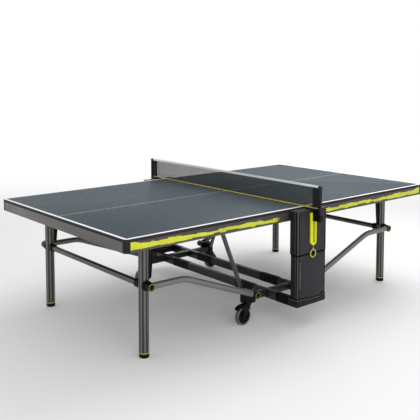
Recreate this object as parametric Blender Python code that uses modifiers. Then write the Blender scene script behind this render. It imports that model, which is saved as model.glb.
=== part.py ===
"""Table tennis table that folds up in two halves over a wheeled undercarriage.

Metres, +Z up. The origin is on the floor at the centre of the table, +X runs along
the table's length and +Y across it. The left half is at -X and the near side at -Y.
"""
import math

import bmesh
import bpy
from mathutils import Matrix, Vector

# Playing surface
TABLE_LENGTH = 2.740
TABLE_WIDTH = 1.525
TABLE_HEIGHT = 0.760
BOARD_THICKNESS = 0.019
HALF_GAP = 0.006
CORNER_RADIUS = 0.020

# Rails and ribs under each board
APRON_DEPTH = 0.059
RAIL_WEB = 0.0025
RAIL_FLANGE = 0.022
CORNER_PIECE = 0.030
RIB_DEPTH = 0.040
RIB_WIDTH = 0.025
RIB_ROUND = 0.003

# Legs
LEG_FROM_END = 0.248
LEG_FROM_SIDE = 0.1955
LEG_DIAMETER = 0.060
LEG_WALL = 0.0025
LEG_HEAD_HEIGHT = 0.045
LEG_HINGE_INSET = 0.022
LEG_HINGE_DROP = 0.010
LEG_HEAD_WIDTH = 0.054
LEG_HEAD_OVER_HINGE = 0.028
LEG_HEAD_ROUND = 0.010
LEG_BEAM_OFFSET = 0.018
CROSSBAR_DIAMETER = 0.037
CROSSBAR_HEIGHT = 0.422
DRUM_DIAMETER = 0.062
DRUM_SEAT = 0.020
COLLAR_LENGTH = 0.036
COLLAR_DIAMETER = 0.052
COLLAR_ROOT = 0.008
GUSSET_WIDTH = 0.036
GUSSET_THICKNESS = 0.008
GUSSET_LAP = 0.006
GUSSET_SQUARE = 0.050
GUSSET_FOOT_WIDTH = 0.0216
GUSSET_FOOT_RISE = 0.010
GUSSET_TOE = 0.006
GUSSET_RISE = 0.023
FOOT_HEIGHT = 0.026
FOOT_RING_HEIGHT = 0.004
FOOT_RING_PROUD = 0.0008
FOOT_EASE = 0.004
FOOT_STEM_DIAMETER = 0.016
FOOT_STEM_LENGTH = 0.030

# Stays and struts
STAY_DIAMETER = 0.038
STAY_BEND = (0.868, 0.422)
STAY_PIVOT_INSET = 0.001
STAY_PIVOT_DROP = 0.022
STAY_END = 0.011
STAY_RISE = 0.003
STAY_CLEARANCE = 0.008
STAY_BEND_EASE = 0.045
STRUT_DIAMETER = 0.028
STRUT_TOP_X = 0.515
STRUT_HINGE_DROP = 0.036
STRUT_BEAM_OFFSET = 0.030
STRUT_PIVOT_OUTSET = 0.013
STRUT_PIVOT_DROP = 0.020
STRUT_SIDE = 0.512
STRUT_END = 0.012
EAR_THICKNESS = 0.006
LEG_LUG_RADIUS = 0.016
STRUT_LUG_RADIUS = 0.014
PIN_DIAMETER = 0.010
PIVOT_PIN_DIAMETER = 0.016
CAP_DIAMETER = 0.048
CAP_THICKNESS = 0.005
CAP_ROOT = 0.002
PIVOT_ROOT = 0.004

# Undercarriage
BEAM_OUTER = 0.139
BEAM_WIDTH = 0.040
BEAM_BOTTOM = 0.135
BEAM_TOP = 0.190
BEAM_ROUND = 0.005
SLEEVE_WALL = 0.0015
SLEEVE_SPANS = ((0.268, 0.443), (0.660, 0.772))
END_TUBE_SIDE = 0.555
END_TUBE_WIDTH = 0.040
END_TUBE_BOTTOM = 0.146
END_TUBE_TOP = 0.188
END_TUBE_REACH = 0.290
END_TUBE_ROUND = 0.004
HOUSING_LENGTH = 0.055
HOUSING_CHEEK = 0.025
HOUSING_CHEEK_LENGTH = 0.028
HOUSING_BOTTOM = 0.140
HOUSING_TOP = 0.222

# Castors
STEM_SETBACK = 0.022
STEM_DIAMETER = 0.021
STEM_LENGTH = 0.060
CROWN_HEIGHT = 0.014
CROWN_DIAMETER = 0.056
CASTOR_TRAIL = 0.035
WHEEL_DIAMETER = 0.120
WHEEL_WIDTH = 0.026
WHEEL_SIDES = 20
TYRE_DEPTH = 0.015
TYRE_EASE = 0.004
HUB_DISH = 0.006
HUB_NAVE = 0.034
FORK_PLATE = 0.004
FORK_CLEARANCE = 0.002
FORK_REAR = 0.0224
FORK_ROOT = 0.004
FORK_HEAD = 0.003
AXLE_DIAMETER = 0.010
AXLE_NUT = 0.002
AXLE_EYE_RADIUS = 0.013
BRAKE_PIN_DIAMETER = 0.005
BRAKE_PIVOT = (0.046, 0.128)
BRAKE_REACH = 0.047
BRAKE_THICKNESS = 0.010
BRAKE_DROP = 0.0215
BRAKE_KNEE = 0.022
BRAKE_EYE_RADIUS = 0.0065
BRAKE_PADDLE_WIDTH = 0.034

# Side cabinets
CABINET_HALF_LENGTH = 0.139
CABINET_CLEARANCE = 0.0145
CABINET_DEPTH = 0.070
CABINET_TOP_GAP = 0.007
CABINET_SEAM = 0.467
CABINET_WALL = 0.004
CABINET_CORNER = 0.012
LOWER_INSET = 0.004
GUIDE_PLATE_THICKNESS = 0.005
GUIDE_PLATE_MARGIN = 0.014
STORE_BACK = 0.0045
STORE_WALL = 0.003
STORE_HALF_LENGTH = 0.120
STORE_TOP_GAP = 0.0285
STORE_LEDGE = 0.003
STORE_FLOOR = 0.008
DOOR_THICKNESS = 0.004
DOOR_GAP = 0.0005
DOOR_EDGE = 0.001
DOOR_HINGE_INSET = 0.0032
DOOR_PIN_DIAMETER = 0.0026
DOOR_PIN_REACH = 0.003
DOOR_PIN_ROOT = 0.006
DOOR_TAB = (-0.047, 0.085)
DOOR_TAB_DROP = 0.0095

# Fold guides, and where a folded half stands
GUIDE_OFFSET = 0.025
GUIDE_DROP = 0.013
FOLDED_FACE = 0.065
FOLDED_EDGE = 0.202
ROLLER_DIAMETER = 0.023
ROLLER_FLANGE_DIAMETER = 0.030
ROLLER_FLANGE_THICKNESS = 0.0028
GUIDE_SHAFT_DIAMETER = 0.012
GUIDE_SLOT_CLEARANCE = 0.0006

# Net
NET_HEIGHT = 0.1525
NET_BOTTOM_GAP = 0.0060
NET_THICKNESS = 0.0014
NET_STRAND = 0.003
NET_COLUMNS = 36
NET_ROWS = 5
TAPE_HEIGHT = 0.015
TAPE_THICKNESS = 0.0036
POST_STANDOFF = 0.060
POST_WIDTH = 0.020
POST_FOOT_COLLAR = 0.042
SOCKET_WALL = 0.006
SOCKET_DEPTH = 0.070
BRACKET_THICKNESS = 0.008
BRACKET_SEAT = 0.052
NET_SLEEVE_LENGTH = 0.050
NET_SLEEVE_THICKNESS = 0.006
CORD_DIAMETER = 0.007
FERRULE_DIAMETER = 0.008
FERRULE_LENGTH = 0.036

# Handle and pull on the near cabinet
HANDLE_WIDTH = 0.050
HANDLE_TOP_GAP = 0.018
HANDLE_OVER_SEAM = 0.057
HANDLE_THICKNESS = 0.014
HANDLE_GROOVE_WIDTH = 0.024
HANDLE_GROOVE_DEPTH = 0.004
HANDLE_GROOVE_MARGIN = 0.012
HANDLE_BORE_DEPTH = 0.040
PULL_STEM_DIAMETER = 0.0036
PULL_STEM_HIDDEN = 0.033
PULL_RING_DIAMETER = 0.056
PULL_RING_WIRE = 0.007
PULL_RING_OVER_SEAM = 0.003

# Clearances, how far welded shapes run into each other, and how far a cutter passes a face
TOUCH = 0.0003
RUNNING = 0.0005
WELD = 0.001
OVERSHOOT = 0.010

# What follows from the sizes above
BOARD_BOTTOM = TABLE_HEIGHT - BOARD_THICKNESS
RAIL_TOP = BOARD_BOTTOM - TOUCH
APRON_BOTTOM = BOARD_BOTTOM - APRON_DEPTH
RIB_BOTTOM = BOARD_BOTTOM - RIB_DEPTH
HALF_INNER = HALF_GAP / 2
HALF_OUTER = TABLE_LENGTH / 2
SIDE = TABLE_WIDTH / 2
LEG_X = HALF_OUTER - LEG_FROM_END
LEG_Y = SIDE - LEG_FROM_SIDE
LEG_RADIUS = LEG_DIAMETER / 2
LEG_HINGE = (LEG_X - LEG_HINGE_INSET, APRON_BOTTOM - LEG_HINGE_DROP)
LEG_HEAD_TOP = LEG_HINGE[1] + LEG_HEAD_OVER_HINGE
LEG_HEAD_BOTTOM = LEG_HEAD_TOP - LEG_HEAD_HEIGHT
LEG_FOOT = FOOT_HEIGHT + FOOT_RING_HEIGHT + TOUCH
STAY_Y = LEG_Y + LEG_RADIUS + STAY_CLEARANCE + STAY_DIAMETER / 2
STAY_TOP = (LEG_X, CROSSBAR_HEIGHT + STAY_RISE)
STRUT_TOP = (STRUT_TOP_X, BOARD_BOTTOM - STRUT_HINGE_DROP)
LEG_BEAM_X = LEG_X + LEG_RADIUS + LEG_BEAM_OFFSET
STRUT_BEAM_X = STRUT_TOP_X + STRUT_BEAM_OFFSET
HOUSING_INNER = END_TUBE_SIDE - END_TUBE_WIDTH / 2
HOUSING_OUTER = END_TUBE_SIDE + END_TUBE_WIDTH / 2 + HOUSING_CHEEK
HOUSING_START = END_TUBE_REACH - WELD
HOUSING_END = HOUSING_START + HOUSING_LENGTH
STAY_PIVOT = (END_TUBE_REACH - STAY_PIVOT_INSET, HOUSING_TOP - STAY_PIVOT_DROP)
STRUT_PIVOT = (END_TUBE_REACH + STRUT_PIVOT_OUTSET, HOUSING_TOP - STRUT_PIVOT_DROP)
STEM_X = END_TUBE_REACH + STEM_SETBACK
STEM_Y = (HOUSING_INNER + HOUSING_OUTER) / 2
WHEEL_X = STEM_X + CASTOR_TRAIL
WHEEL_RADIUS = WHEEL_DIAMETER / 2
CROWN_TOP = HOUSING_BOTTOM - RUNNING
CROWN_BOTTOM = CROWN_TOP - CROWN_HEIGHT
FORK_INSIDE = WHEEL_WIDTH / 2 + FORK_CLEARANCE
FORK_OUTSIDE = FORK_INSIDE + FORK_PLATE
CABINET_BACK = SIDE + CABINET_CLEARANCE
CABINET_FRONT = CABINET_BACK + CABINET_DEPTH
POST_SIDE = CABINET_FRONT + POST_STANDOFF
GUIDE_PLATE_BACK = CABINET_BACK + GUIDE_PLATE_THICKNESS
STORE_REAR = GUIDE_PLATE_BACK + STORE_BACK
CABINET_TOP = TABLE_HEIGHT - CABINET_TOP_GAP
STORE_TOP = CABINET_SEAM - STORE_TOP_GAP
DOOR_SWEEP = math.hypot(DOOR_HINGE_INSET, DOOR_THICKNESS / 2) + TOUCH
GUIDE_START = (GUIDE_OFFSET, BOARD_BOTTOM - GUIDE_DROP)
GUIDE_FINISH = (FOLDED_FACE + TABLE_HEIGHT - GUIDE_START[1], FOLDED_EDGE + GUIDE_OFFSET)
NET_TOP = TABLE_HEIGHT + NET_HEIGHT
NET_BOTTOM = TABLE_HEIGHT + NET_BOTTOM_GAP
NET_END = POST_SIDE - POST_WIDTH / 2 - TOUCH
SOCKET_BOTTOM = CABINET_TOP - SOCKET_DEPTH
HANDLE_TOP = CABINET_TOP - HANDLE_TOP_GAP
HANDLE_BOTTOM = CABINET_SEAM + HANDLE_OVER_SEAM
HANDLE_MIDDLE = CABINET_FRONT + TOUCH + HANDLE_THICKNESS / 2
PULL_RING_CENTRE = CABINET_SEAM + PULL_RING_OVER_SEAM

LEFT, RIGHT = -1, 1
NEAR, FAR = -1, 1
SIDES = {"left": LEFT, "right": RIGHT}
ENDS = {"near": NEAR, "far": FAR}
BRAKED = NEAR

FINISHES = {
    "playing_surface": ((0.130, 0.155, 0.175), 0.45, 0.0),
    "rail": ((0.135, 0.130, 0.125), 0.45, 0.3),
    "end_rail": ((0.160, 0.158, 0.152), 0.40, 0.4),
    "corner": ((0.025, 0.025, 0.027), 0.55, 0.0),
    "leg": ((0.075, 0.074, 0.070), 0.35, 0.6),
    "tube": ((0.200, 0.198, 0.193), 0.35, 0.6),
    "beam": ((0.045, 0.044, 0.045), 0.45, 0.3),
    "black_plastic": ((0.020, 0.020, 0.021), 0.50, 0.0),
    "cabinet": ((0.046, 0.046, 0.050), 0.50, 0.0),
    "steel": ((0.450, 0.450, 0.450), 0.30, 1.0),
    "yellow": ((0.800, 0.800, 0.060), 0.40, 0.0),
    "net": ((0.045, 0.052, 0.058), 0.80, 0.0),
    "tape": ((0.750, 0.760, 0.770), 0.70, 0.0),
    "tyre": ((0.160, 0.160, 0.175), 0.60, 0.0),
}


def clear_scene():
    """Remove what the scene holds at the start."""
    for thing in list(bpy.data.objects):
        bpy.data.objects.remove(thing, do_unlink=True)


def new_collection(name):
    """Add a collection to the scene."""
    folder = bpy.data.collections.new(name)
    bpy.context.scene.collection.children.link(folder)
    return folder


def finish_material(node_name, finish):
    """Make the material of one piece from its finish."""
    colour, roughness, metallic = FINISHES[finish]
    material = bpy.data.materials.new(node_name)
    material.use_nodes = True
    shader = material.node_tree.nodes["Principled BSDF"]
    shader.inputs["Base Color"].default_value = (*colour, 1.0)
    shader.inputs["Roughness"].default_value = roughness
    shader.inputs["Metallic"].default_value = metallic
    material.diffuse_color = (*colour, 1.0)
    return material


clear_scene()
PARTS = new_collection("table_tennis_table")
CUTTERS = new_collection("cutters")
FRAMES = new_collection("joint_frames")


def wrap(mesh, name="shape"):
    """Put a mesh in an object among the parts."""
    shape = bpy.data.objects.new(name, mesh)
    PARTS.objects.link(shape)
    return shape


def from_bmesh(working):
    """Turn a working mesh into an object with its faces pointing out."""
    bmesh.ops.recalc_face_normals(working, faces=working.faces)
    mesh = bpy.data.meshes.new("shape")
    working.to_mesh(mesh)
    working.free()
    return wrap(mesh)


def baked(shape, weld=0.0):
    """Replace an object by its evaluated mesh in world space."""
    bpy.context.view_layer.update()
    graph = bpy.context.evaluated_depsgraph_get()
    mesh = bpy.data.meshes.new_from_object(shape.evaluated_get(graph), depsgraph=graph)
    mesh.transform(shape.matrix_world)
    working = bmesh.new()
    working.from_mesh(mesh)
    if weld:
        bmesh.ops.remove_doubles(working, verts=working.verts, dist=weld)
    bpy.data.objects.remove(shape, do_unlink=True)
    bpy.data.meshes.remove(mesh)
    return from_bmesh(working)


def box(x_span, y_span, z_span):
    """A block between two values on each axis, in either order."""
    spans = [sorted(span) for span in (x_span, y_span, z_span)]
    size = Vector([high - low for low, high in spans])
    middle = Vector([(high + low) / 2 for low, high in spans])
    working = bmesh.new()
    place = Matrix.Translation(middle) @ Matrix.Diagonal((*size, 1.0))
    bmesh.ops.create_cube(working, size=1.0, matrix=place)
    return from_bmesh(working)


def rounded(shape, radius, steps=1, along=None, keep=None):
    """Round the edges of a block: all of them, or those along one axis that keep() accepts."""
    working = bmesh.new()
    working.from_mesh(shape.data)
    chosen = []
    for edge in working.edges:
        run = edge.verts[1].co - edge.verts[0].co
        middle = (edge.verts[1].co + edge.verts[0].co) / 2
        straight = along is None or abs(run.normalized()[along]) > 0.999
        if straight and (keep is None or keep(middle)):
            chosen.append(edge)
    bmesh.ops.bevel(working, geom=chosen, offset=radius, segments=steps, profile=0.5, affect="EDGES")
    working.to_mesh(shape.data)
    working.free()
    return shape


def rod(start, end, radius, sides=16):
    """A plain cylinder from one point to another."""
    start, end = Vector(start), Vector(end)
    run = end - start
    turn = run.to_track_quat("Z", "Y").to_matrix().to_4x4()
    working = bmesh.new()
    place = Matrix.Translation((start + end) / 2) @ turn
    bmesh.ops.create_cone(
        working, cap_ends=True, segments=sides, radius1=radius, radius2=radius,
        depth=run.length, matrix=place,
    )
    return from_bmesh(working)


def turned(centre, axis, profile, steps=16, ring=False):
    """A turned piece: profile is (radius, height) down the outer side, about an axis."""
    mesh = bpy.data.meshes.new("profile")
    points = [(radius, 0.0, height) for radius, height in profile]
    links = [(i, i + 1) for i in range(len(points) - 1)]
    if ring:
        links.append((len(points) - 1, 0))
    mesh.from_pydata(points, links, [])
    shape = wrap(mesh)
    screw = shape.modifiers.new("turn", "SCREW")
    screw.steps = steps
    screw.render_steps = steps
    screw.use_merge_vertices = True
    screw.merge_threshold = 0.00001
    turn = Vector(axis).to_track_quat("Z", "Y")
    shape.matrix_world = Matrix.Translation(Vector(centre)) @ turn.to_matrix().to_4x4()
    return baked(shape)


def ring_profile(inner, outer, low, high):
    """The section of a ring."""
    return [(inner, high), (outer, high), (outer, low), (inner, low)]


# For each extrusion axis, the two axes that an outline is drawn on and the axis itself
PLANES = {"X": "YZX", "Y": "XZY", "Z": "XYZ"}


def plate(points, axis, span):
    """A flat outline given an even thickness along an axis."""
    curve = bpy.data.curves.new("outline", "CURVE")
    curve.dimensions = "2D"
    curve.fill_mode = "BOTH"
    curve.extrude = abs(span[1] - span[0]) / 2
    spline = curve.splines.new("POLY")
    spline.points.add(len(points) - 1)
    for slot, (first, second) in zip(spline.points, points):
        slot.co = (first, second, 0.0, 1.0)
    spline.use_cyclic_u = True
    shape = bpy.data.objects.new("outline", curve)
    PARTS.objects.link(shape)
    across, up, through = ("XYZ".index(letter) for letter in PLANES[axis])
    place = Matrix.Identity(4)
    for row in range(3):
        place[row][0] = 1.0 if row == across else 0.0
        place[row][1] = 1.0 if row == up else 0.0
        place[row][2] = 1.0 if row == through else 0.0
    place[through][3] = (span[0] + span[1]) / 2
    solid = baked(shape, weld=0.00001)
    solid.data.transform(place)
    working = bmesh.new()
    working.from_mesh(solid.data)
    bmesh.ops.recalc_face_normals(working, faces=working.faces)
    working.to_mesh(solid.data)
    working.free()
    return solid


def arc(centre, radius, start, end, steps):
    """Points along an arc, angles in degrees."""
    angles = [math.radians(start + (end - start) * i / steps) for i in range(steps + 1)]
    return [(centre[0] + radius * math.cos(a), centre[1] + radius * math.sin(a)) for a in angles]


def tube(points, radius, resolution=3):
    """A round tube along points, with filled ends."""
    curve = bpy.data.curves.new("tube", "CURVE")
    curve.dimensions = "3D"
    curve.bevel_depth = radius
    curve.bevel_resolution = resolution
    curve.use_fill_caps = True
    spline = curve.splines.new("POLY")
    spline.points.add(len(points) - 1)
    for slot, point in zip(spline.points, points):
        slot.co = (*point, 1.0)
    shape = bpy.data.objects.new("tube", curve)
    PARTS.objects.link(shape)
    return baked(shape, weld=0.00001)


def combine(shape, tools, operation):
    """Add to a shape, or cut from it, with Boolean modifiers that are then applied."""
    for tool in tools:
        step = shape.modifiers.new(operation.lower(), "BOOLEAN")
        step.operation = operation
        step.solver = "EXACT"
        step.object = tool
    solid = baked(shape, weld=0.000001)
    for tool in tools:
        if operation == "UNION":
            bpy.data.objects.remove(tool, do_unlink=True)
        else:
            PARTS.objects.unlink(tool)
            CUTTERS.objects.link(tool)
            tool.name = "cutter"
            tool.display_type = "WIRE"
            tool.hide_render = True
            tool.hide_viewport = True
    return solid


def cut(shape, *tools):
    """Cut tools from a shape."""
    return combine(shape, tools, "DIFFERENCE")


def unite(shape, *tools):
    """Weld tools onto a shape."""
    return combine(shape, tools, "UNION")


def joint_frame(name, pivot, parent=None):
    """An empty on a joint's axis, which the moving pieces hang from."""
    frame = bpy.data.objects.new(name, None)
    frame.empty_display_size = 0.05
    FRAMES.objects.link(frame)
    frame.location = Vector(pivot)
    if parent:
        frame.parent = parent
        frame.location = Vector(pivot) - parent.matrix_world.translation
    bpy.context.view_layer.update()
    return frame


def node(name, shape, finish, frame=None):
    """Name a closed shape as a piece of the table and hang it from its joint's frame."""
    shape.name = name
    mesh = shape.data
    mesh.name = name
    mesh.materials.append(finish_material(name, finish))
    mesh.shade_smooth()
    mesh.set_sharp_from_angle(angle=math.radians(35))
    if frame:
        shape.parent = frame
        shape.location = -frame.matrix_world.translation
    return shape


# Undercarriage

def cross_beam(s):
    """A beam from cabinet to cabinet with its raised sleeves and a slot for each end tube."""
    across = CABINET_BACK - TOUCH
    inner = BEAM_OUTER - BEAM_WIDTH
    beam = rounded(box((s * BEAM_OUTER, s * inner), (-across, across), (BEAM_BOTTOM, BEAM_TOP)), BEAM_ROUND,
                   along=1)
    sleeves = [
        box((s * (BEAM_OUTER + SLEEVE_WALL), s * (inner - SLEEVE_WALL)), (t * start, t * end),
            (BEAM_BOTTOM - SLEEVE_WALL, BEAM_TOP + SLEEVE_WALL))
        for t in ENDS.values() for start, end in SLEEVE_SPANS
    ]
    slots = [
        box((s * (BEAM_OUTER + OVERSHOOT), s * (inner - OVERSHOOT)),
            (t * (HOUSING_INNER - TOUCH), t * (HOUSING_INNER + END_TUBE_WIDTH + TOUCH)),
            (END_TUBE_BOTTOM - TOUCH, END_TUBE_TOP + TOUCH))
        for t in ENDS.values()
    ]
    return cut(unite(beam, *sleeves), *slots)


def end_tube(t):
    """The tube along one side of the undercarriage with a castor housing on each end."""
    across = (t * HOUSING_INNER, t * (HOUSING_INNER + END_TUBE_WIDTH))
    length = box((-END_TUBE_REACH, END_TUBE_REACH), across, (END_TUBE_BOTTOM, END_TUBE_TOP))
    housings = [castor_housing(s, t) for s in SIDES.values()]
    return unite(rounded(length, END_TUBE_ROUND, along=0), *housings)


def castor_housing(s, t):
    """The block on an end tube's end that takes the castor's stem and carries two pivots."""
    cheek_face = HOUSING_OUTER - HOUSING_CHEEK - WELD
    outline = [
        (s * (END_TUBE_REACH - HOUSING_CHEEK_LENGTH), t * cheek_face),
        (s * HOUSING_START, t * cheek_face),
        (s * HOUSING_START, t * HOUSING_INNER),
        (s * HOUSING_END, t * HOUSING_INNER),
        (s * HOUSING_END, t * HOUSING_OUTER),
        (s * (END_TUBE_REACH - HOUSING_CHEEK_LENGTH), t * HOUSING_OUTER),
    ]
    block = plate(outline, "Z", (HOUSING_BOTTOM, HOUSING_TOP))
    foot = (s * STEM_X, t * STEM_Y, HOUSING_BOTTOM - OVERSHOOT)
    head = (s * STEM_X, t * STEM_Y, HOUSING_BOTTOM + STEM_LENGTH + TOUCH)
    bore = rod(foot, head, STEM_DIAMETER / 2 + RUNNING, 12)
    strut_face = STRUT_SIDE + STRUT_DIAMETER / 2 + RUNNING
    boss = rod(
        (s * STRUT_PIVOT[0], t * (HOUSING_INNER + PIVOT_ROOT), STRUT_PIVOT[1]),
        (s * STRUT_PIVOT[0], t * strut_face, STRUT_PIVOT[1]), PIVOT_PIN_DIAMETER / 2, 12,
    )
    stay_face = STAY_Y + STAY_DIAMETER / 2 + RUNNING
    pin = rod(
        (s * STAY_PIVOT[0], t * (HOUSING_OUTER - PIVOT_ROOT), STAY_PIVOT[1]),
        (s * STAY_PIVOT[0], t * (stay_face + CAP_ROOT), STAY_PIVOT[1]), PIVOT_PIN_DIAMETER / 2, 12,
    )
    cap = rod(
        (s * STAY_PIVOT[0], t * stay_face, STAY_PIVOT[1]),
        (s * STAY_PIVOT[0], t * (stay_face + CAP_THICKNESS), STAY_PIVOT[1]), CAP_DIAMETER / 2, 16,
    )
    return unite(cut(block, bore), boss, unite(pin, cap))


def build_undercarriage():
    """Two beams across the table and two end tubes with their castor housings."""
    for side, s in SIDES.items():
        node("cross_beam_" + side, cross_beam(s), "beam")
    for end, t in ENDS.items():
        node("end_tube_" + end, end_tube(t), "beam")


# Castors

def wheel_solid(s, t):
    """A castor's wheel, tyre and dished hub in one turned piece."""
    centre = (s * WHEEL_X, t * STEM_Y, WHEEL_RADIUS)
    half = WHEEL_WIDTH / 2
    rim = WHEEL_RADIUS - TYRE_DEPTH
    dish = half - HUB_DISH
    bore = AXLE_DIAMETER / 2 + RUNNING
    face = [(bore, half), (HUB_NAVE / 2, half), (HUB_NAVE / 2, dish), (rim, dish), (rim, half),
            (WHEEL_RADIUS - TYRE_EASE, half), (WHEEL_RADIUS, half - TYRE_EASE)]
    section = face + [(radius, -along) for radius, along in reversed(face)]
    return turned(centre, (0, 1, 0), section, WHEEL_SIDES, True)


def fork_solid(s, t):
    """Crown, stem, two fork plates, axle and, on a braked castor, the brake's pin, all welded up."""
    stem_foot = (s * STEM_X, t * STEM_Y, CROWN_BOTTOM + FORK_ROOT)
    stem_head = (s * STEM_X, t * STEM_Y, HOUSING_BOTTOM + STEM_LENGTH)
    stem = rod(stem_foot, stem_head, STEM_DIAMETER / 2, 12)
    crown = rod(
        (s * STEM_X, t * STEM_Y, CROWN_BOTTOM), (s * STEM_X, t * STEM_Y, CROWN_TOP), CROWN_DIAMETER / 2, 16,
    )
    axle_eye = arc((WHEEL_X, WHEEL_RADIUS), AXLE_EYE_RADIUS, 200, 340, 4)
    brake_x = STEM_X + BRAKE_PIVOT[0]
    brake_eye = arc((brake_x, BRAKE_PIVOT[1]), BRAKE_EYE_RADIUS + WELD, 0, 110, 3)
    outline = [(STEM_X - FORK_REAR, CROWN_BOTTOM + FORK_ROOT), *axle_eye, *brake_eye,
               (STEM_X - FORK_REAR, CROWN_TOP - FORK_HEAD)]
    mirrored = [(s * along, up) for along, up in outline]
    plates = [
        plate(mirrored, "Y", (t * STEM_Y + side * FORK_INSIDE, t * STEM_Y + side * FORK_OUTSIDE))
        for side in (-1, 1)
    ]
    axle_end = FORK_OUTSIDE + AXLE_NUT
    axle = rod(
        (s * WHEEL_X, t * STEM_Y - axle_end, WHEEL_RADIUS), (s * WHEEL_X, t * STEM_Y + axle_end, WHEEL_RADIUS),
        AXLE_DIAMETER / 2, 12,
    )
    fork = unite(crown, stem, *plates, axle)
    if t != BRAKED:
        return fork
    pin_end = FORK_INSIDE + WELD
    pin = rod(
        (s * brake_x, t * STEM_Y - pin_end, BRAKE_PIVOT[1]), (s * brake_x, t * STEM_Y + pin_end, BRAKE_PIVOT[1]),
        BRAKE_PIN_DIAMETER / 2, 8,
    )
    return unite(fork, pin)


def brake_solid(s, t):
    """Brake lever over the tyre, with a wide paddle past the fork plates."""
    brake_x = STEM_X + BRAKE_PIVOT[0]
    half = FORK_INSIDE - RUNNING
    eye = arc((brake_x, BRAKE_PIVOT[1]), BRAKE_EYE_RADIUS, 90, 270, 4)
    tip_x, tip_low = brake_x + BRAKE_REACH, BRAKE_PIVOT[1] - BRAKE_DROP
    tip = [(tip_x, tip_low), (tip_x, tip_low + BRAKE_THICKNESS)]
    knee_low = tip_low + BRAKE_THICKNESS
    start = (brake_x + BRAKE_KNEE - 2 * WELD, BRAKE_PIVOT[1] + BRAKE_EYE_RADIUS)
    outline = [*eye, (brake_x + BRAKE_KNEE, knee_low), *tip, start]
    lever = plate([(s * along, up) for along, up in outline], "Y", (t * STEM_Y - half, t * STEM_Y + half))
    pad = [(start[0], knee_low + WELD), *tip, start]
    reach = BRAKE_PADDLE_WIDTH / 2
    paddle = plate([(s * along, up) for along, up in pad], "Y", (t * STEM_Y - reach, t * STEM_Y + reach))
    drill = reach + OVERSHOOT
    bore = rod(
        (s * brake_x, t * STEM_Y - drill, BRAKE_PIVOT[1]), (s * brake_x, t * STEM_Y + drill, BRAKE_PIVOT[1]),
        BRAKE_PIN_DIAMETER / 2 + RUNNING, 8,
    )
    return cut(unite(lever, paddle), bore)


def build_castors():
    """Four castors that swivel and roll, the near two with brakes."""
    for side, s in SIDES.items():
        for end, t in ENDS.items():
            label = side + "_" + end
            swivel = joint_frame("swivel_" + label, (s * STEM_X, t * STEM_Y, HOUSING_BOTTOM))
            roll = joint_frame("roll_" + label, (s * WHEEL_X, t * STEM_Y, WHEEL_RADIUS), swivel)
            node("castor_fork_" + label, fork_solid(s, t), "black_plastic", swivel)
            node("castor_wheel_" + label, wheel_solid(s, t), "tyre", roll)
            if t == BRAKED:
                brake_at = (s * (STEM_X + BRAKE_PIVOT[0]), t * STEM_Y, BRAKE_PIVOT[1])
                press = joint_frame("brake_" + label, brake_at, swivel)
                node("castor_brake_" + label, brake_solid(s, t), "black_plastic", press)


# Side cabinets

def front_corner(middle):
    """Whether an upright edge is one of a cabinet's two front corners."""
    return abs(middle.y) > CABINET_FRONT - WELD


def plinth(t):
    """The base that joins both beams at one side, with a notch for the door's tab."""
    block = box(
        (-CABINET_HALF_LENGTH, CABINET_HALF_LENGTH), (t * CABINET_BACK, t * CABINET_FRONT),
        (BEAM_BOTTOM, BEAM_TOP),
    )
    block = rounded(block, CABINET_CORNER, 3, along=2, keep=front_corner)
    ease = DOOR_GAP
    notch = box(
        (-t * (DOOR_TAB[0] - ease), -t * (DOOR_TAB[1] + ease)),
        (t * (CABINET_FRONT - DOOR_THICKNESS - ease), t * (CABINET_FRONT + OVERSHOOT)),
        (BEAM_TOP + DOOR_GAP - DOOR_TAB_DROP - ease, BEAM_TOP + OVERSHOOT),
    )
    return cut(block, notch)


def guide_slot(s, t):
    """The cutter of one slanting slot for a guide roller."""
    radius = ROLLER_DIAMETER / 2 + GUIDE_SLOT_CLEARANCE
    start, finish = Vector(GUIDE_START), Vector(GUIDE_FINISH)
    heading = math.degrees(math.atan2(start.y - finish.y, start.x - finish.x))
    outline = arc(start, radius, heading - 90, heading + 90, 6)
    outline += arc(finish, radius, heading + 90, heading + 270, 6)
    span = (t * (CABINET_BACK - OVERSHOOT), t * (GUIDE_PLATE_BACK + OVERSHOOT))
    return plate([(s * along, up) for along, up in outline], "Y", span)


def guide_plate(t):
    """The upright plate behind a cabinet with a slot for each half's roller."""
    reach = CABINET_HALF_LENGTH - GUIDE_PLATE_MARGIN
    sheet = box((-reach, reach), (t * CABINET_BACK, t * GUIDE_PLATE_BACK), (BEAM_TOP - WELD, CABINET_TOP - WELD))
    slots = unite(guide_slot(LEFT, t), guide_slot(RIGHT, t))
    return cut(sheet, slots)


def upper_cover(t):
    """The cabinet's upper cover: a shell open at the back and below."""
    outer = box(
        (-CABINET_HALF_LENGTH, CABINET_HALF_LENGTH), (t * (GUIDE_PLATE_BACK + TOUCH), t * CABINET_FRONT),
        (CABINET_SEAM, CABINET_TOP),
    )
    outer = rounded(outer, CABINET_CORNER, 3, along=2, keep=front_corner)
    inner_front = CABINET_FRONT - CABINET_WALL
    reach = CABINET_HALF_LENGTH - CABINET_WALL
    hollow = box(
        (-reach, reach), (t * (CABINET_BACK - OVERSHOOT), t * inner_front),
        (CABINET_SEAM - OVERSHOOT, CABINET_TOP - CABINET_WALL),
    )
    hollow = rounded(
        hollow, CABINET_CORNER - CABINET_WALL, 3, along=2, keep=lambda m: abs(m.y) > inner_front - WELD,
    )
    return cut(outer, hollow)


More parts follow.
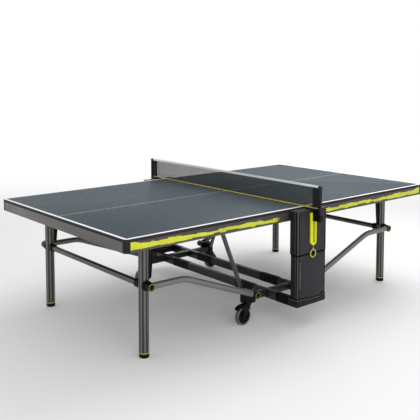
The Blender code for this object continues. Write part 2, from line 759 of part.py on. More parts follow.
def store_body(t):
    """The cabinet's lower part: a store for balls and bats, open at the front."""
    reach = CABINET_HALF_LENGTH - LOWER_INSET
    floor = BEAM_TOP + TOUCH
    outer = box((-reach, reach), (t * STORE_REAR, t * CABINET_FRONT), (floor, CABINET_SEAM - TOUCH))
    outer = rounded(outer, CABINET_CORNER, 3, along=2, keep=front_corner)
    door_back = CABINET_FRONT - DOOR_THICKNESS - DOOR_GAP
    hollow = box(
        (-STORE_HALF_LENGTH, STORE_HALF_LENGTH), (t * (STORE_REAR + STORE_WALL), t * (door_back + WELD)),
        (floor + STORE_FLOOR, STORE_TOP - STORE_LEDGE),
    )
    recess = box(
        (-STORE_HALF_LENGTH, STORE_HALF_LENGTH), (t * door_back, t * (CABINET_FRONT + OVERSHOOT)),
        (floor - OVERSHOOT, STORE_TOP),
    )
    hinge = door_hinge(t)
    sweep = rod((*hinge, floor - OVERSHOOT), (*hinge, STORE_TOP - TOUCH), DOOR_SWEEP, 16)
    pin_hole = rod(
        (*hinge, STORE_TOP - OVERSHOOT), (*hinge, STORE_TOP + DOOR_PIN_REACH + TOUCH),
        DOOR_PIN_DIAMETER / 2 + RUNNING, 8,
    )
    return cut(outer, unite(hollow, recess, sweep, pin_hole))


def door_hinge(t):
    """Where the door's upright hinge stands. The far cabinet is the near one turned round."""
    along = -STORE_HALF_LENGTH + DOOR_EDGE + DOOR_HINGE_INSET
    return (-t * along, t * (CABINET_FRONT - DOOR_THICKNESS / 2))


def store_door(t):
    """The store's door with a finger tab below and a hinge pin above."""
    reach = STORE_HALF_LENGTH - DOOR_EDGE
    low = BEAM_TOP + DOOR_GAP + TOUCH
    tab = low - DOOR_TAB_DROP
    top = STORE_TOP - DOOR_GAP
    span = (t * (CABINET_FRONT - DOOR_THICKNESS), t * CABINET_FRONT)
    panel = box((-reach, reach), span, (low, top))
    finger_tab = box((-t * DOOR_TAB[0], -t * DOOR_TAB[1]), span, (tab, low + WELD))
    hinge = door_hinge(t)
    pin = rod((*hinge, top - DOOR_PIN_ROOT), (*hinge, STORE_TOP + DOOR_PIN_REACH), DOOR_PIN_DIAMETER / 2, 8)
    return unite(panel, finger_tab, pin)


def build_cabinets():
    """Bases with their guide plates, covers, stores and doors."""
    for end, t in ENDS.items():
        node("cabinet_base_" + end, unite(plinth(t), guide_plate(t)), "cabinet")
        node("cabinet_upper_" + end, upper_cover(t), "cabinet")
        node("cabinet_lower_" + end, store_body(t), "cabinet")
        hinge = joint_frame("door_hinge_" + end, (*door_hinge(t), (BEAM_TOP + STORE_TOP) / 2))
        node("store_door_" + end, store_door(t), "cabinet", hinge)


# Handle and pull

def handle_solid():
    """The long yellow handle on the near cabinet, round below, with a groove down its middle."""
    half = HANDLE_WIDTH / 2
    outline = [(-half, HANDLE_TOP), *arc((0, HANDLE_BOTTOM + half), half, 180, 360, 8), (half, HANDLE_TOP)]
    back, front = -(CABINET_FRONT + TOUCH), -(CABINET_FRONT + TOUCH + HANDLE_THICKNESS)
    body = plate(outline, "Y", (back, front))
    groove_half = HANDLE_GROOVE_WIDTH / 2
    groove_low = HANDLE_BOTTOM + half - groove_half
    groove = plate(
        [(-groove_half, HANDLE_TOP - HANDLE_GROOVE_MARGIN),
         *arc((0, groove_low + groove_half), groove_half, 180, 360, 6),
         (groove_half, HANDLE_TOP - HANDLE_GROOVE_MARGIN)],
        "Y", (front - OVERSHOOT, front + HANDLE_GROOVE_DEPTH),
    )
    bore = rod(
        (0, -HANDLE_MIDDLE, HANDLE_BOTTOM - OVERSHOOT), (0, -HANDLE_MIDDLE, HANDLE_BOTTOM + HANDLE_BORE_DEPTH),
        PULL_STEM_DIAMETER / 2 + RUNNING, 8,
    )
    return cut(body, groove, bore)


def pull_solid():
    """The moulded pull: a thin stem that runs up into the handle, and a ring."""
    major = (PULL_RING_DIAMETER - PULL_RING_WIRE) / 2
    wire = PULL_RING_WIRE / 2
    section = [(major + x, y) for x, y in arc((0, 0), wire, 90, -270, 8)][:-1]
    hoop = turned((0, -HANDLE_MIDDLE, PULL_RING_CENTRE), (0, 1, 0), section, 24, True)
    stem = rod(
        (0, -HANDLE_MIDDLE, PULL_RING_CENTRE + major),
        (0, -HANDLE_MIDDLE, HANDLE_BOTTOM + PULL_STEM_HIDDEN), PULL_STEM_DIAMETER / 2, 8,
    )
    return unite(hoop, stem)


def build_pull():
    """Handle and pull of the near cabinet."""
    node("release_handle", handle_solid(), "yellow")
    slide = joint_frame("pull_slide", (0, -HANDLE_MIDDLE, PULL_RING_CENTRE))
    node("pull_ring", pull_solid(), "yellow", slide)


# Net

def net_post(t):
    """A square post in a socket on an arm, which runs over the cabinet's top and down past the handle."""
    half = POST_WIDTH / 2 + SOCKET_WALL
    inner_face = POST_SIDE - half
    block_inner, block_outer = HANDLE_MIDDLE + HANDLE_THICKNESS / 2 + TOUCH, inner_face + WELD
    seat = CABINET_TOP + TOUCH
    outline = [(CABINET_FRONT - BRACKET_SEAT, seat), (block_inner, seat), (block_inner, SOCKET_BOTTOM),
               (block_outer, SOCKET_BOTTOM), (block_outer, seat + BRACKET_THICKNESS),
               (CABINET_FRONT - BRACKET_SEAT, seat + BRACKET_THICKNESS)]
    arm = plate([(t * across, up) for across, up in outline], "X", (-half, half))
    socket = box((-half, half), (t * inner_face, t * (POST_SIDE + half)),
                 (SOCKET_BOTTOM, SOCKET_BOTTOM + POST_FOOT_COLLAR))
    reach = POST_WIDTH / 2
    post = box((-reach, reach), (t * (POST_SIDE - reach), t * (POST_SIDE + reach)), (SOCKET_BOTTOM + WELD, NET_TOP))
    return unite(socket, arm, rounded(post, 0.003, along=2))


def net_cloth():
    """The net: a flat sheet with a square opening in each cell."""
    reach = NET_END - NET_SLEEVE_LENGTH + WELD
    top = NET_TOP - TAPE_HEIGHT - TOUCH
    centre = Matrix.Translation((0, 0, (NET_BOTTOM + top) / 2))
    upright = Matrix.Rotation(math.radians(90), 4, "Y")
    size = Matrix.Diagonal(((top - NET_BOTTOM) / 2, reach, 1.0, 1.0))
    working = bmesh.new()
    bmesh.ops.create_grid(
        working, x_segments=NET_ROWS, y_segments=NET_COLUMNS, size=1.0, matrix=centre @ upright @ size,
    )
    cells = list(working.faces)
    bmesh.ops.inset_individual(working, faces=cells, thickness=NET_STRAND / 2, use_even_offset=True)
    bmesh.ops.delete(working, geom=cells, context="FACES")
    sheet = from_bmesh(working)
    thick = sheet.modifiers.new("thickness", "SOLIDIFY")
    thick.thickness = NET_THICKNESS
    thick.offset = 0.0
    return baked(sheet)


def tension_cord():
    """The taut cord in the net's lower hem with a metal end at each post."""
    thin, thick = CORD_DIAMETER / 2, FERRULE_DIAMETER / 2
    shoulder = NET_END - FERRULE_LENGTH
    profile = [(0.0, NET_END), (thick, NET_END), (thick, shoulder), (thin, shoulder), (thin, -shoulder),
               (thick, -shoulder), (thick, -NET_END), (0.0, -NET_END)]
    return turned((0, 0, NET_BOTTOM), (0, 1, 0), profile, 8)


def net_solid():
    """The net with its cord and the sleeve at each end, sewn into one piece."""
    half = NET_SLEEVE_THICKNESS / 2
    sleeves = [
        box((-half, half), (t * (NET_END - NET_SLEEVE_LENGTH), t * (NET_END - WELD)),
            (NET_BOTTOM, NET_TOP - TAPE_HEIGHT - TOUCH))
        for t in ENDS.values()
    ]
    return unite(net_cloth(), *sleeves, tension_cord())


def build_net():
    """Posts, net and tape."""
    for end, t in ENDS.items():
        node("net_post_" + end, net_post(t), "corner")
    node("net_mesh", net_solid(), "net")
    half = TAPE_THICKNESS / 2
    tape = box((-half, half), (-NET_END, NET_END), (NET_TOP - TAPE_HEIGHT, NET_TOP))
    node("net_tape", tape, "tape")


# The two halves

def channel(s, t):
    """A side rail: a folded channel with its web outside."""
    web = SIDE
    flange = SIDE - RAIL_FLANGE
    outline = [
        (web, RAIL_TOP), (web, APRON_BOTTOM), (flange, APRON_BOTTOM), (flange, APRON_BOTTOM + RAIL_WEB),
        (web - RAIL_WEB, APRON_BOTTOM + RAIL_WEB), (web - RAIL_WEB, RAIL_TOP - RAIL_WEB),
        (flange, RAIL_TOP - RAIL_WEB), (flange, RAIL_TOP),
    ]
    span = (s * (HALF_INNER + TOUCH), s * (HALF_OUTER - CORNER_PIECE - TOUCH))
    rail = plate([(t * across, up) for across, up in outline], "X", span)
    hole = rod(
        (s * GUIDE_START[0], t * (SIDE - RAIL_WEB - OVERSHOOT), GUIDE_START[1]),
        (s * GUIDE_START[0], t * (SIDE + OVERSHOOT), GUIDE_START[1]), GUIDE_SHAFT_DIAMETER / 2 + RUNNING, 12,
    )
    return cut(rail, hole)


def end_rail(s):
    """The end rail: the same channel across the table's end, between two moulded corners."""
    web = HALF_OUTER
    flange = HALF_OUTER - RAIL_FLANGE
    outline = [
        (web, RAIL_TOP), (web, APRON_BOTTOM), (flange, APRON_BOTTOM), (flange, APRON_BOTTOM + RAIL_WEB),
        (web - RAIL_WEB, APRON_BOTTOM + RAIL_WEB), (web - RAIL_WEB, RAIL_TOP - RAIL_WEB),
        (flange, RAIL_TOP - RAIL_WEB), (flange, RAIL_TOP),
    ]
    reach = SIDE - CORNER_PIECE + WELD
    rail = plate([(s * along, up) for along, up in outline], "Y", (-reach, reach))
    return unite(rail, corner_piece(s, NEAR), corner_piece(s, FAR))


def corner_piece(s, t):
    """A moulded corner between a side rail and the end rail, rounded outside."""
    low_x, low_y = HALF_OUTER - CORNER_PIECE, SIDE - CORNER_PIECE
    outline = [(low_x, low_y), (HALF_OUTER, low_y)]
    outline += arc((HALF_OUTER - CORNER_RADIUS, SIDE - CORNER_RADIUS), CORNER_RADIUS, 0, 90, 4)
    outline += [(low_x, SIDE)]
    return plate([(s * along, t * across) for along, across in outline], "Z", (APRON_BOTTOM, RAIL_TOP))


def board(s):
    """One half's board with rounded outer corners."""
    block = box((s * HALF_INNER, s * HALF_OUTER), (-SIDE, SIDE), (BOARD_BOTTOM, TABLE_HEIGHT))
    return rounded(block, CORNER_RADIUS, 4, along=2, keep=lambda m: abs(m.x) > HALF_OUTER - WELD)


def lug_outline(pivot, radius, beam_x):
    """The outline of an ear: round about its pivot and square where it enters its beam."""
    root = beam_x + RIB_ROUND + WELD
    return [*arc(pivot, radius, 180, 315, 4), (root, RIB_BOTTOM + RIB_ROUND), (root, RAIL_TOP),
            (pivot[0] - radius, RAIL_TOP)]


def hinge_beam(s, beam_x, pivot, lug_radius, middle, gap):
    """A bar across the underside with two ears and a fixed pin at each side."""
    reach = SIDE - RAIL_FLANGE - TOUCH
    bar = box((s * beam_x, s * (beam_x + RIB_WIDTH)), (-reach, reach), (RIB_BOTTOM, RAIL_TOP))
    bar = rounded(bar, RIB_ROUND, along=1)
    outline = [(s * along, up) for along, up in lug_outline(pivot, lug_radius, beam_x)]
    inner, outer = middle - gap / 2, middle + gap / 2
    fixed = []
    for t in ENDS.values():
        fixed.append(plate(outline, "Y", (t * outer, t * (outer + EAR_THICKNESS))))
        fixed.append(plate(outline, "Y", (t * inner, t * (inner - EAR_THICKNESS))))
        fixed.append(rod(
            (s * pivot[0], t * (inner - WELD), pivot[1]), (s * pivot[0], t * (outer + WELD), pivot[1]),
            PIN_DIAMETER / 2, 12,
        ))
    return unite(bar, *fixed)


def guide_shaft(s):
    """The shaft near a half's inner edge: it turns in both side rails and rolls in both guide plates."""
    centre = (s * GUIDE_START[0], 0.0, GUIDE_START[1])
    flange_at = GUIDE_PLATE_BACK + RUNNING
    tip = flange_at + ROLLER_FLANGE_THICKNESS
    roller_at = CABINET_BACK - WELD
    half = [
        (0.0, tip), (ROLLER_FLANGE_DIAMETER / 2, tip), (ROLLER_FLANGE_DIAMETER / 2, flange_at),
        (ROLLER_DIAMETER / 2, flange_at), (ROLLER_DIAMETER / 2, roller_at), (GUIDE_SHAFT_DIAMETER / 2, roller_at),
    ]
    profile = half + [(radius, -along) for radius, along in reversed(half)]
    return turned(centre, (0, 1, 0), profile, 16)


def leg_tube(s, t):
    """A leg's tube, open below for the foot's stem."""
    profile = ring_profile(LEG_RADIUS - LEG_WALL, LEG_RADIUS, LEG_FOOT, LEG_HEAD_BOTTOM + WELD)
    return turned((s * LEG_X, t * LEG_Y, 0), (0, 0, 1), profile, 20, True)


def leg_head(s, t):
    """The head on a leg, where the hinge pin passes."""
    half = LEG_HEAD_WIDTH / 2
    block = box(
        (s * (LEG_X - LEG_RADIUS), s * (LEG_X + LEG_RADIUS)), (t * (LEG_Y - half), t * (LEG_Y + half)),
        (LEG_HEAD_BOTTOM, LEG_HEAD_TOP),
    )
    return rounded(block, LEG_HEAD_ROUND, 2, along=1, keep=lambda m: m.z > LEG_HEAD_BOTTOM + WELD)


def knuckle(s, t):
    """The drum for the stay on a leg's outer side and the crossbar's collar on its inner side."""
    drum = rod(
        (s * LEG_X, t * (LEG_Y + DRUM_SEAT), STAY_TOP[1]),
        (s * LEG_X, t * (STAY_Y - STAY_DIAMETER / 2 - RUNNING), STAY_TOP[1]), DRUM_DIAMETER / 2, 20,
    )
    wall = LEG_Y - LEG_RADIUS
    collar = rod(
        (s * LEG_X, t * (wall + COLLAR_ROOT), CROSSBAR_HEIGHT),
        (s * LEG_X, t * (wall - COLLAR_LENGTH), CROSSBAR_HEIGHT), COLLAR_DIAMETER / 2, 16,
    )
    return unite(drum, collar)


def gusset(s, t):
    """The plate down a leg's inner side from its head to its knuckle."""
    low = CROSSBAR_HEIGHT + GUSSET_RISE
    high = LEG_HEAD_BOTTOM + GUSSET_LAP
    inner = LEG_X - LEG_RADIUS
    outline = [(inner + WELD, low), (inner + WELD, high), (inner - GUSSET_WIDTH, high),
               (inner - GUSSET_WIDTH, high - GUSSET_SQUARE), (inner - GUSSET_FOOT_WIDTH, low + GUSSET_FOOT_RISE),
               (inner - GUSSET_TOE, low)]
    half = GUSSET_THICKNESS / 2
    return plate([(s * along, up) for along, up in outline], "Y", (t * LEG_Y - half, t * LEG_Y + half))


def leg_solid(s, t):
    """A leg with its head, knuckle and gusset, drilled for the hinge pin and the crossbar's end."""
    whole = unite(leg_tube(s, t), leg_head(s, t), gusset(s, t), knuckle(s, t))
    reach = LEG_RADIUS + OVERSHOOT
    pin_bore = rod(
        (s * LEG_HINGE[0], t * (LEG_Y - reach), LEG_HINGE[1]), (s * LEG_HINGE[0], t * (LEG_Y + reach), LEG_HINGE[1]),
        PIN_DIAMETER / 2 + RUNNING, 12,
    )
    wall = LEG_Y - LEG_RADIUS
    bar_bore = rod(
        (s * LEG_X, t * (wall - TOUCH), CROSSBAR_HEIGHT),
        (s * LEG_X, t * (wall - COLLAR_LENGTH - OVERSHOOT), CROSSBAR_HEIGHT), CROSSBAR_DIAMETER / 2 + TOUCH, 16,
    )
    return cut(whole, pin_bore, bar_bore)


def foot_solid(s, t):
    """A levelling foot: stem, lock ring and foot, which turn together."""
    stem = FOOT_STEM_DIAMETER / 2
    ring_top = FOOT_HEIGHT + FOOT_RING_HEIGHT
    ring = LEG_RADIUS + FOOT_RING_PROUD
    profile = [
        (0.0, ring_top + FOOT_STEM_LENGTH), (stem, ring_top + FOOT_STEM_LENGTH), (stem, ring_top),
        (ring, ring_top), (ring, FOOT_HEIGHT), (LEG_RADIUS, FOOT_HEIGHT), (LEG_RADIUS, FOOT_EASE),
        (LEG_RADIUS - FOOT_EASE, 0.0), (0.0, 0.0),
    ]
    return turned((s * LEG_X, t * LEG_Y, 0), (0, 0, 1), profile, 20)


def crossbar(s):
    """The tube between the two legs of an end."""
    reach = LEG_Y - LEG_RADIUS - 2 * TOUCH
    return rod((s * LEG_X, -reach, CROSSBAR_HEIGHT), (s * LEG_X, reach, CROSSBAR_HEIGHT), CROSSBAR_DIAMETER / 2, 16)


def stay_route():
    """The stay's centre line, (distance from the net, height), with its bend eased."""
    top, bend, low = Vector(STAY_TOP), Vector(STAY_BEND), Vector(STAY_PIVOT)
    first = (top - bend).normalized()
    last = (low - bend).normalized()
    inside = bend + first * STAY_BEND_EASE
    outside = bend + last * STAY_BEND_EASE
    eased = []
    for i in range(5):
        share = i / 4
        eased.append(inside * (1 - share) ** 2 + bend * 2 * share * (1 - share) + outside * share ** 2)
    return [top + first * STAY_END, *eased, low + last * STAY_END]


def stay_solid(s, t):
    """A bent stay, drilled at its lower pivot, with a round cap over its upper end."""
    route = [(s * point.x, t * STAY_Y, point.y) for point in stay_route()]
    body = tube(route, STAY_DIAMETER / 2)
    reach = STAY_DIAMETER / 2 + OVERSHOOT
    bore = rod(
        (s * STAY_PIVOT[0], t * (STAY_Y - reach), STAY_PIVOT[1]),
        (s * STAY_PIVOT[0], t * (STAY_Y + reach), STAY_PIVOT[1]), PIVOT_PIN_DIAMETER / 2 + RUNNING, 12,
    )
    cap = rod(
        (s * STAY_TOP[0], t * (STAY_Y - STAY_DIAMETER / 2), STAY_TOP[1]),
        (s * STAY_TOP[0], t * (STAY_Y + STAY_DIAMETER / 2 + CAP_THICKNESS), STAY_TOP[1]), CAP_DIAMETER / 2, 16,
    )
    return unite(cut(body, bore), cap)


def strut_solid(s, t):
    """A straight strut, drilled for the pin under the board."""
    top, low = Vector(STRUT_TOP), Vector(STRUT_PIVOT)
    heading = (top - low).normalized()
    high_end, low_end = top + heading * STRUT_END, low - heading * STRUT_END
    body = rod((s * low_end.x, t * STRUT_SIDE, low_end.y), (s * high_end.x, t * STRUT_SIDE, high_end.y),
               STRUT_DIAMETER / 2, 16)
    reach = STRUT_DIAMETER / 2 + OVERSHOOT
    bore = rod((s * top.x, t * (STRUT_SIDE - reach), top.y), (s * top.x, t * (STRUT_SIDE + reach), top.y),
               PIN_DIAMETER / 2 + RUNNING, 12)
    return cut(body, bore)


def build_half(side):
    """One half: board, rails, legs, stays, struts and guide shaft."""
    s = SIDES[side]
    start = (s * GUIDE_START[0], 0, GUIDE_START[1])
    guides = joint_frame(side + "_guides", start)
    top = joint_frame(side + "_fold", start, guides)
    legs = joint_frame(side + "_leg_hinge", (s * LEG_HINGE[0], 0, LEG_HINGE[1]), top)
    struts = joint_frame(side + "_strut_hinge", (s * STRUT_TOP[0], 0, STRUT_TOP[1]), top)
    stays = joint_frame(side + "_stay_hinge", (s * STAY_PIVOT[0], 0, STAY_PIVOT[1]))
    node(side + "_guide_shaft", guide_shaft(s), "steel", guides)
    node(side + "_board", board(s), "playing_surface", top)
    node(side + "_end_rail", end_rail(s), "end_rail", top)
    leg_gap = LEG_HEAD_WIDTH + 2 * RUNNING
    strut_gap = STRUT_DIAMETER + 2 * RUNNING
    node(side + "_leg_beam", hinge_beam(s, LEG_BEAM_X, LEG_HINGE, LEG_LUG_RADIUS, LEG_Y, leg_gap), "beam", top)
    node(side + "_strut_beam", hinge_beam(s, STRUT_BEAM_X, STRUT_TOP, STRUT_LUG_RADIUS, STRUT_SIDE, strut_gap),
         "beam", top)
    node(side + "_leg_crossbar", crossbar(s), "leg", legs)
    for end, t in ENDS.items():
        node(side + "_side_rail_" + end, channel(s, t), "rail", top)
        node(side + "_leg_" + end, leg_solid(s, t), "leg", legs)
        node(side + "_stay_" + end, stay_solid(s, t), "tube", stays)
        node(side + "_strut_" + end, strut_solid(s, t), "leg", struts)
        turn = joint_frame("foot_turn_" + side + "_" + end, (s * LEG_X, t * LEG_Y, 0), legs)
        node("foot_" + side + "_" + end, foot_solid(s, t), "black_plastic", turn)


def build_table():
    """Build every piece of the table."""
    build_undercarriage()
    build_castors()
    build_cabinets()
    build_pull()
    build_net()
    for side in SIDES:
        build_half(side)


build_table()
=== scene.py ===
"""A table tennis table that folds up in two halves over a wheeled undercarriage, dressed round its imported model.

Metres, +Z up, in the model's own frame: +X runs along the playing length, +Y across it. Most pieces are drawn where
X and Y are positive, and two signs then turn them to their own quarter of the table.
"""

import logging
import math
from collections.abc import Callable, Sequence
from dataclasses import dataclass
from enum import Enum

import bmesh
import bpy
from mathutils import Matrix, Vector


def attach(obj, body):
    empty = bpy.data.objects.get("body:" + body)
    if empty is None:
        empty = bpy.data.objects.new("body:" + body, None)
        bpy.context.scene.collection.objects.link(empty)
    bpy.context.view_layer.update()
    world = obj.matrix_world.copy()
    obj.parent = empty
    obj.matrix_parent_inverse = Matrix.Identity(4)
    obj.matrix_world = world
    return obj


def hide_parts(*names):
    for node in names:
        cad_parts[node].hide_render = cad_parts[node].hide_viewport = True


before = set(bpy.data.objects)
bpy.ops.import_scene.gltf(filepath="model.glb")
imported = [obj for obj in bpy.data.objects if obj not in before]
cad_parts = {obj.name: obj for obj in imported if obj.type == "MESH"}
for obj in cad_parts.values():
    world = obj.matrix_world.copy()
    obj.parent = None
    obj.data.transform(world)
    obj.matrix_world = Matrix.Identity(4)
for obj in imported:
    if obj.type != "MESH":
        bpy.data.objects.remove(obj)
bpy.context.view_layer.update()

LOG = logging.getLogger("table")

Flat = tuple[float, float]
Point = tuple[float, float, float]
Colour = tuple[int, int, int]
Signs = tuple[int, int]
Keep = Callable[[Vector], bool]

SIDES = {"left": -1, "right": 1}
ENDS = {"near": -1, "far": 1}
EASED_ANGLE = math.radians(28)
SHARP_ANGLE = math.radians(32)
WHITE = (1.0, 1.0, 1.0, 1.0)


class Axis(Enum):
    """The axis that an outline is pushed along or a profile is turned about."""

    X = 0
    Y = 1
    Z = 2


@dataclass(frozen=True)
class Layout:
    """Sizes that several sub-assemblies share."""

    half_length: float = 1.370
    half_width: float = 0.7625
    inner_edge: float = 0.003
    surface: float = 0.760
    board_bottom: float = 0.741
    apron_bottom: float = 0.682
    leg_x: float = 1.122
    leg_y: float = 0.567
    leg_radius: float = 0.030
    stay_y: float = 0.624
    stay_radius: float = 0.019
    stay_top: Flat = (1.122, 0.425)
    stay_bend: Flat = (0.868, 0.422)
    stay_low: Flat = (0.289, 0.200)
    strut_y: float = 0.512
    strut_radius: float = 0.014
    strut_top: Flat = (0.515, 0.705)
    strut_low: Flat = (0.303, 0.202)
    crossbar_z: float = 0.422
    beam_outer: float = 0.139
    beam_low: float = 0.135
    beam_high: float = 0.190
    tube_y: float = 0.555
    tube_half: float = 0.020
    stem_x: float = 0.312
    stem_y: float = 0.5675
    wheel_x: float = 0.347
    wheel_radius: float = 0.060
    cabinet_back: float = 0.777
    cabinet_front: float = 0.847
    groove: Flat = (0.1198, 0.1280)
    seam_width: float = 0.0052
    tab: Flat = (-0.047, 0.085)
    gap: float = 0.0003


LAYOUT = Layout()


def linear(colour: Sequence[float]) -> tuple[float, float, float, float]:
    """Turn a colour of 0 to 255, as a screen shows it, into the renderer's scale with a full alpha."""
    parts = [channel / 255 for channel in colour]
    scaled = [part / 12.92 if part <= 0.04045 else ((part + 0.055) / 1.055) ** 2.4 for part in parts]
    return (scaled[0], scaled[1], scaled[2], 1.0)


class Wire:
    """A value or colour on its way through a material."""

    def __init__(self, graph: "Graph", socket: bpy.types.NodeSocket) -> None:
        """Keep the graph and the socket that the value comes from."""
        self.graph = graph
        self.socket = socket

    def maths(self, operation: str, *others: "Wire | float") -> "Wire":
        """Add a Math node that starts with this value."""
        return self.graph.maths(operation, self, *others)

    def __add__(self, other: "Wire | float") -> "Wire":
        """Add."""
        return self.maths("ADD", other)

    def __sub__(self, other: "Wire | float") -> "Wire":
        """Take away."""
        return self.maths("SUBTRACT", other)

    def __rsub__(self, other: float) -> "Wire":
        """Take this from a number."""
        return self.graph.maths("SUBTRACT", other, self)

    def __mul__(self, other: "Wire | float") -> "Wire":
        """Multiply."""
        return self.maths("MULTIPLY", other)

    def __gt__(self, other: "Wire | float") -> "Wire":
        """1 where this is the greater, or else 0."""
        return self.maths("GREATER_THAN", other)

    def __lt__(self, other: "Wire | float") -> "Wire":
        """1 where this is the smaller, or else 0."""
        return self.maths("LESS_THAN", other)

    def __abs__(self) -> "Wire":
        """Drop the sign."""
        return self.maths("ABSOLUTE")

    __radd__ = __add__
    __rmul__ = __mul__

    def either(self, other: "Wire | float") -> "Wire":
        """The greater of two values."""
        return self.maths("MAXIMUM", other)

    def both(self, other: "Wire | float") -> "Wire":
        """The smaller of two values."""
        return self.maths("MINIMUM", other)

    def within(self, low: "Wire | float", high: "Wire | float") -> "Wire":
        """1 between two limits, or else 0."""
        return (self > low).both(self < high)

    def reach(self, other: "Wire") -> "Wire":
        """The distance that two lengths at right angles make."""
        return (self * self + other * other).maths("SQRT")

    def ramp(self, low: float, high: float, start: float = 0.0, end: float = 1.0) -> "Wire":
        """Pass smoothly from start to end while this goes from low to high."""
        settings = {"interpolation_type": "SMOOTHSTEP"}
        return self.graph.node("ShaderNodeMapRange", settings, {0: self, 1: low, 2: high, 3: start, 4: end})


Input = Wire | float | Sequence[float]


class Graph:
    """The nodes of a material or world under construction."""

    def __init__(self, owner: bpy.types.Material | bpy.types.World) -> None:
        """Start with the owner's own nodes."""
        owner.use_nodes = True
        self.owner = owner
        self.tree = owner.node_tree

    def node(self, kind: str, settings: dict[str, object], inputs: dict[int | str, Input],
             output: int | str = 0) -> Wire:
        """Add any node.

        Args:
            kind: the node's type.
            settings: what is set on the node itself, before its sockets.
            inputs: a value or a link for each socket that isn't left alone.
            output: the socket that is passed on.

        Returns:
            The wire from that socket.
        """
        made = self.tree.nodes.new(kind)
        for key, value in settings.items():
            setattr(made, key, value)
        for key, value in inputs.items():
            self.plug(made.inputs[key], value)
        return Wire(self, made.outputs[output])

    def maths(self, operation: str, *values: Wire | float) -> Wire:
        """Add a Math node."""
        return self.node("ShaderNodeMath", {"operation": operation}, dict(enumerate(values)))

    def plug(self, socket: bpy.types.NodeSocket, value: Input) -> None:
        """Link a wire to a socket, or set its value."""
        if isinstance(value, Wire):
            self.tree.links.new(value.socket, socket)
        else:
            socket.default_value = value

    def feed(self, **inputs: Input) -> Wire:
        """Set the Principled shader's sockets, whose names have _ for a space, and give its output."""
        shader = self.tree.nodes["Principled BSDF"]
        for key, value in inputs.items():
            self.plug(shader.inputs[key.replace("_", " ")], value)
        return Wire(self, shader.outputs[0])

    def mix(self, share: Input, first: Input, second: Input) -> Wire:
        """Blend two colours, the first at a share of 0. Three numbers are a screen's colour."""
        ends = [linear(end) if not isinstance(end, Wire) and len(end) == 3 else end for end in (first, second)]
        return self.node("ShaderNodeMix", {"data_type": "RGBA"}, {0: share, 6: ends[0], 7: ends[1]}, 2)

    def place(self) -> Wire:
        """The point on the surface, in the table's frame."""
        return self.node("ShaderNodeTexCoord", {}, {}, "Object")

    def axes(self) -> tuple[Wire, Wire, Wire]:
        """X, Y and Z of the point on the surface."""
        outputs = self.node("ShaderNodeSeparateXYZ", {}, {0: self.place()}).socket.node.outputs
        return Wire(self, outputs[0]), Wire(self, outputs[1]), Wire(self, outputs[2])

    def grain(self, scale: float, detail: float = 2.0, stretch: Point = (1.0, 1.0, 1.0)) -> Wire:
        """Soft noise from 0 to 1 with features about 1/scale metres across."""
        stretched = self.node("ShaderNodeMapping", {}, {"Vector": self.place(), "Scale": stretch})
        return self.node("ShaderNodeTexNoise", {}, {"Vector": stretched, "Scale": scale, "Detail": detail})

    def cells(self, value: Wire) -> Wire:
        """A number from 0 to 1 that differs from step to step of a value."""
        return self.node("ShaderNodeTexWhiteNoise", {"noise_dimensions": "1D"}, {"W": value.maths("FLOOR") + 0.5})

    def bump(self, height: Wire, depth: float) -> Wire:
        """Turn a height into a normal."""
        return self.node("ShaderNodeBump", {}, {"Height": height, "Distance": depth, "Strength": 1.0})


@dataclass(frozen=True)
class Finish:
    """A plain surface with fine variation: powder coat, moulded plastic or rubber."""

    name: str
    slot: str
    colour: Colour
    roughness: float = 0.45
    metallic: float = 0.0
    variation: float = 0.12
    grain: float = 900.0
    depth: float = 0.00004
    coat: float = 0.0
    stretch: Point = (1.0, 1.0, 1.0)
    specular: float = 0.5

    def paint(self, graph: Graph) -> Wire:
        """The colour over the surface."""
        dark, light = ([min(1.0, channel * (1 + change)) for channel in linear(self.colour)[:3]] + [1.0]
                       for change in (-self.variation, self.variation))
        return graph.mix(graph.grain(14.0, 3.0, self.stretch).ramp(0.3, 0.7), dark, light)

    def polish(self, graph: Graph) -> Wire:
        """The roughness over the surface."""
        return graph.grain(45.0, 3.0, self.stretch).ramp(0.2, 0.8, self.roughness - 0.05, self.roughness + 0.06)

    def relief(self, graph: Graph) -> Wire:
        """The fine relief."""
        return graph.bump(graph.grain(self.grain, 2.0, self.stretch), self.depth)

    def material(self) -> bpy.types.Material:
        """Make the material, or give the one that is made."""
        made = bpy.data.materials.get(self.name)
        if not made:
            made = bpy.data.materials.new(self.name)
            graph = Graph(made)
            graph.feed(Base_Color=self.paint(graph), Roughness=self.polish(graph), Metallic=self.metallic,
                       Coat_Weight=self.coat, Specular_IOR_Level=self.specular, Normal=self.relief(graph))
            made.diffuse_color = linear(self.colour)
        return made


@dataclass(frozen=True)
class PlayingSurface(Finish):
    """Matt slate paint with the white lines, over a dark edge band."""

    line: float = 0.018
    centre_line: float = 0.0030
    paint_depth: float = 0.0011
    # On the board, the colour of its dark edge band.
    edge_band_and_highlight_colour: Colour = (46, 45, 45)
    line_colour: Colour = (236, 238, 240)

    def paint(self, graph: Graph) -> Wire:
        """Slate, lines and edge band."""
        x, y, z = graph.axes()
        border = (abs(x) > LAYOUT.half_length - self.line).either(abs(y) > LAYOUT.half_width - self.line)
        lines = border.either(abs(y) < self.centre_line / 2)
        painted = graph.mix(lines, Finish.paint(self, graph), self.line_colour)
        return graph.mix(z > LAYOUT.surface - self.paint_depth, self.edge_band_and_highlight_colour, painted)


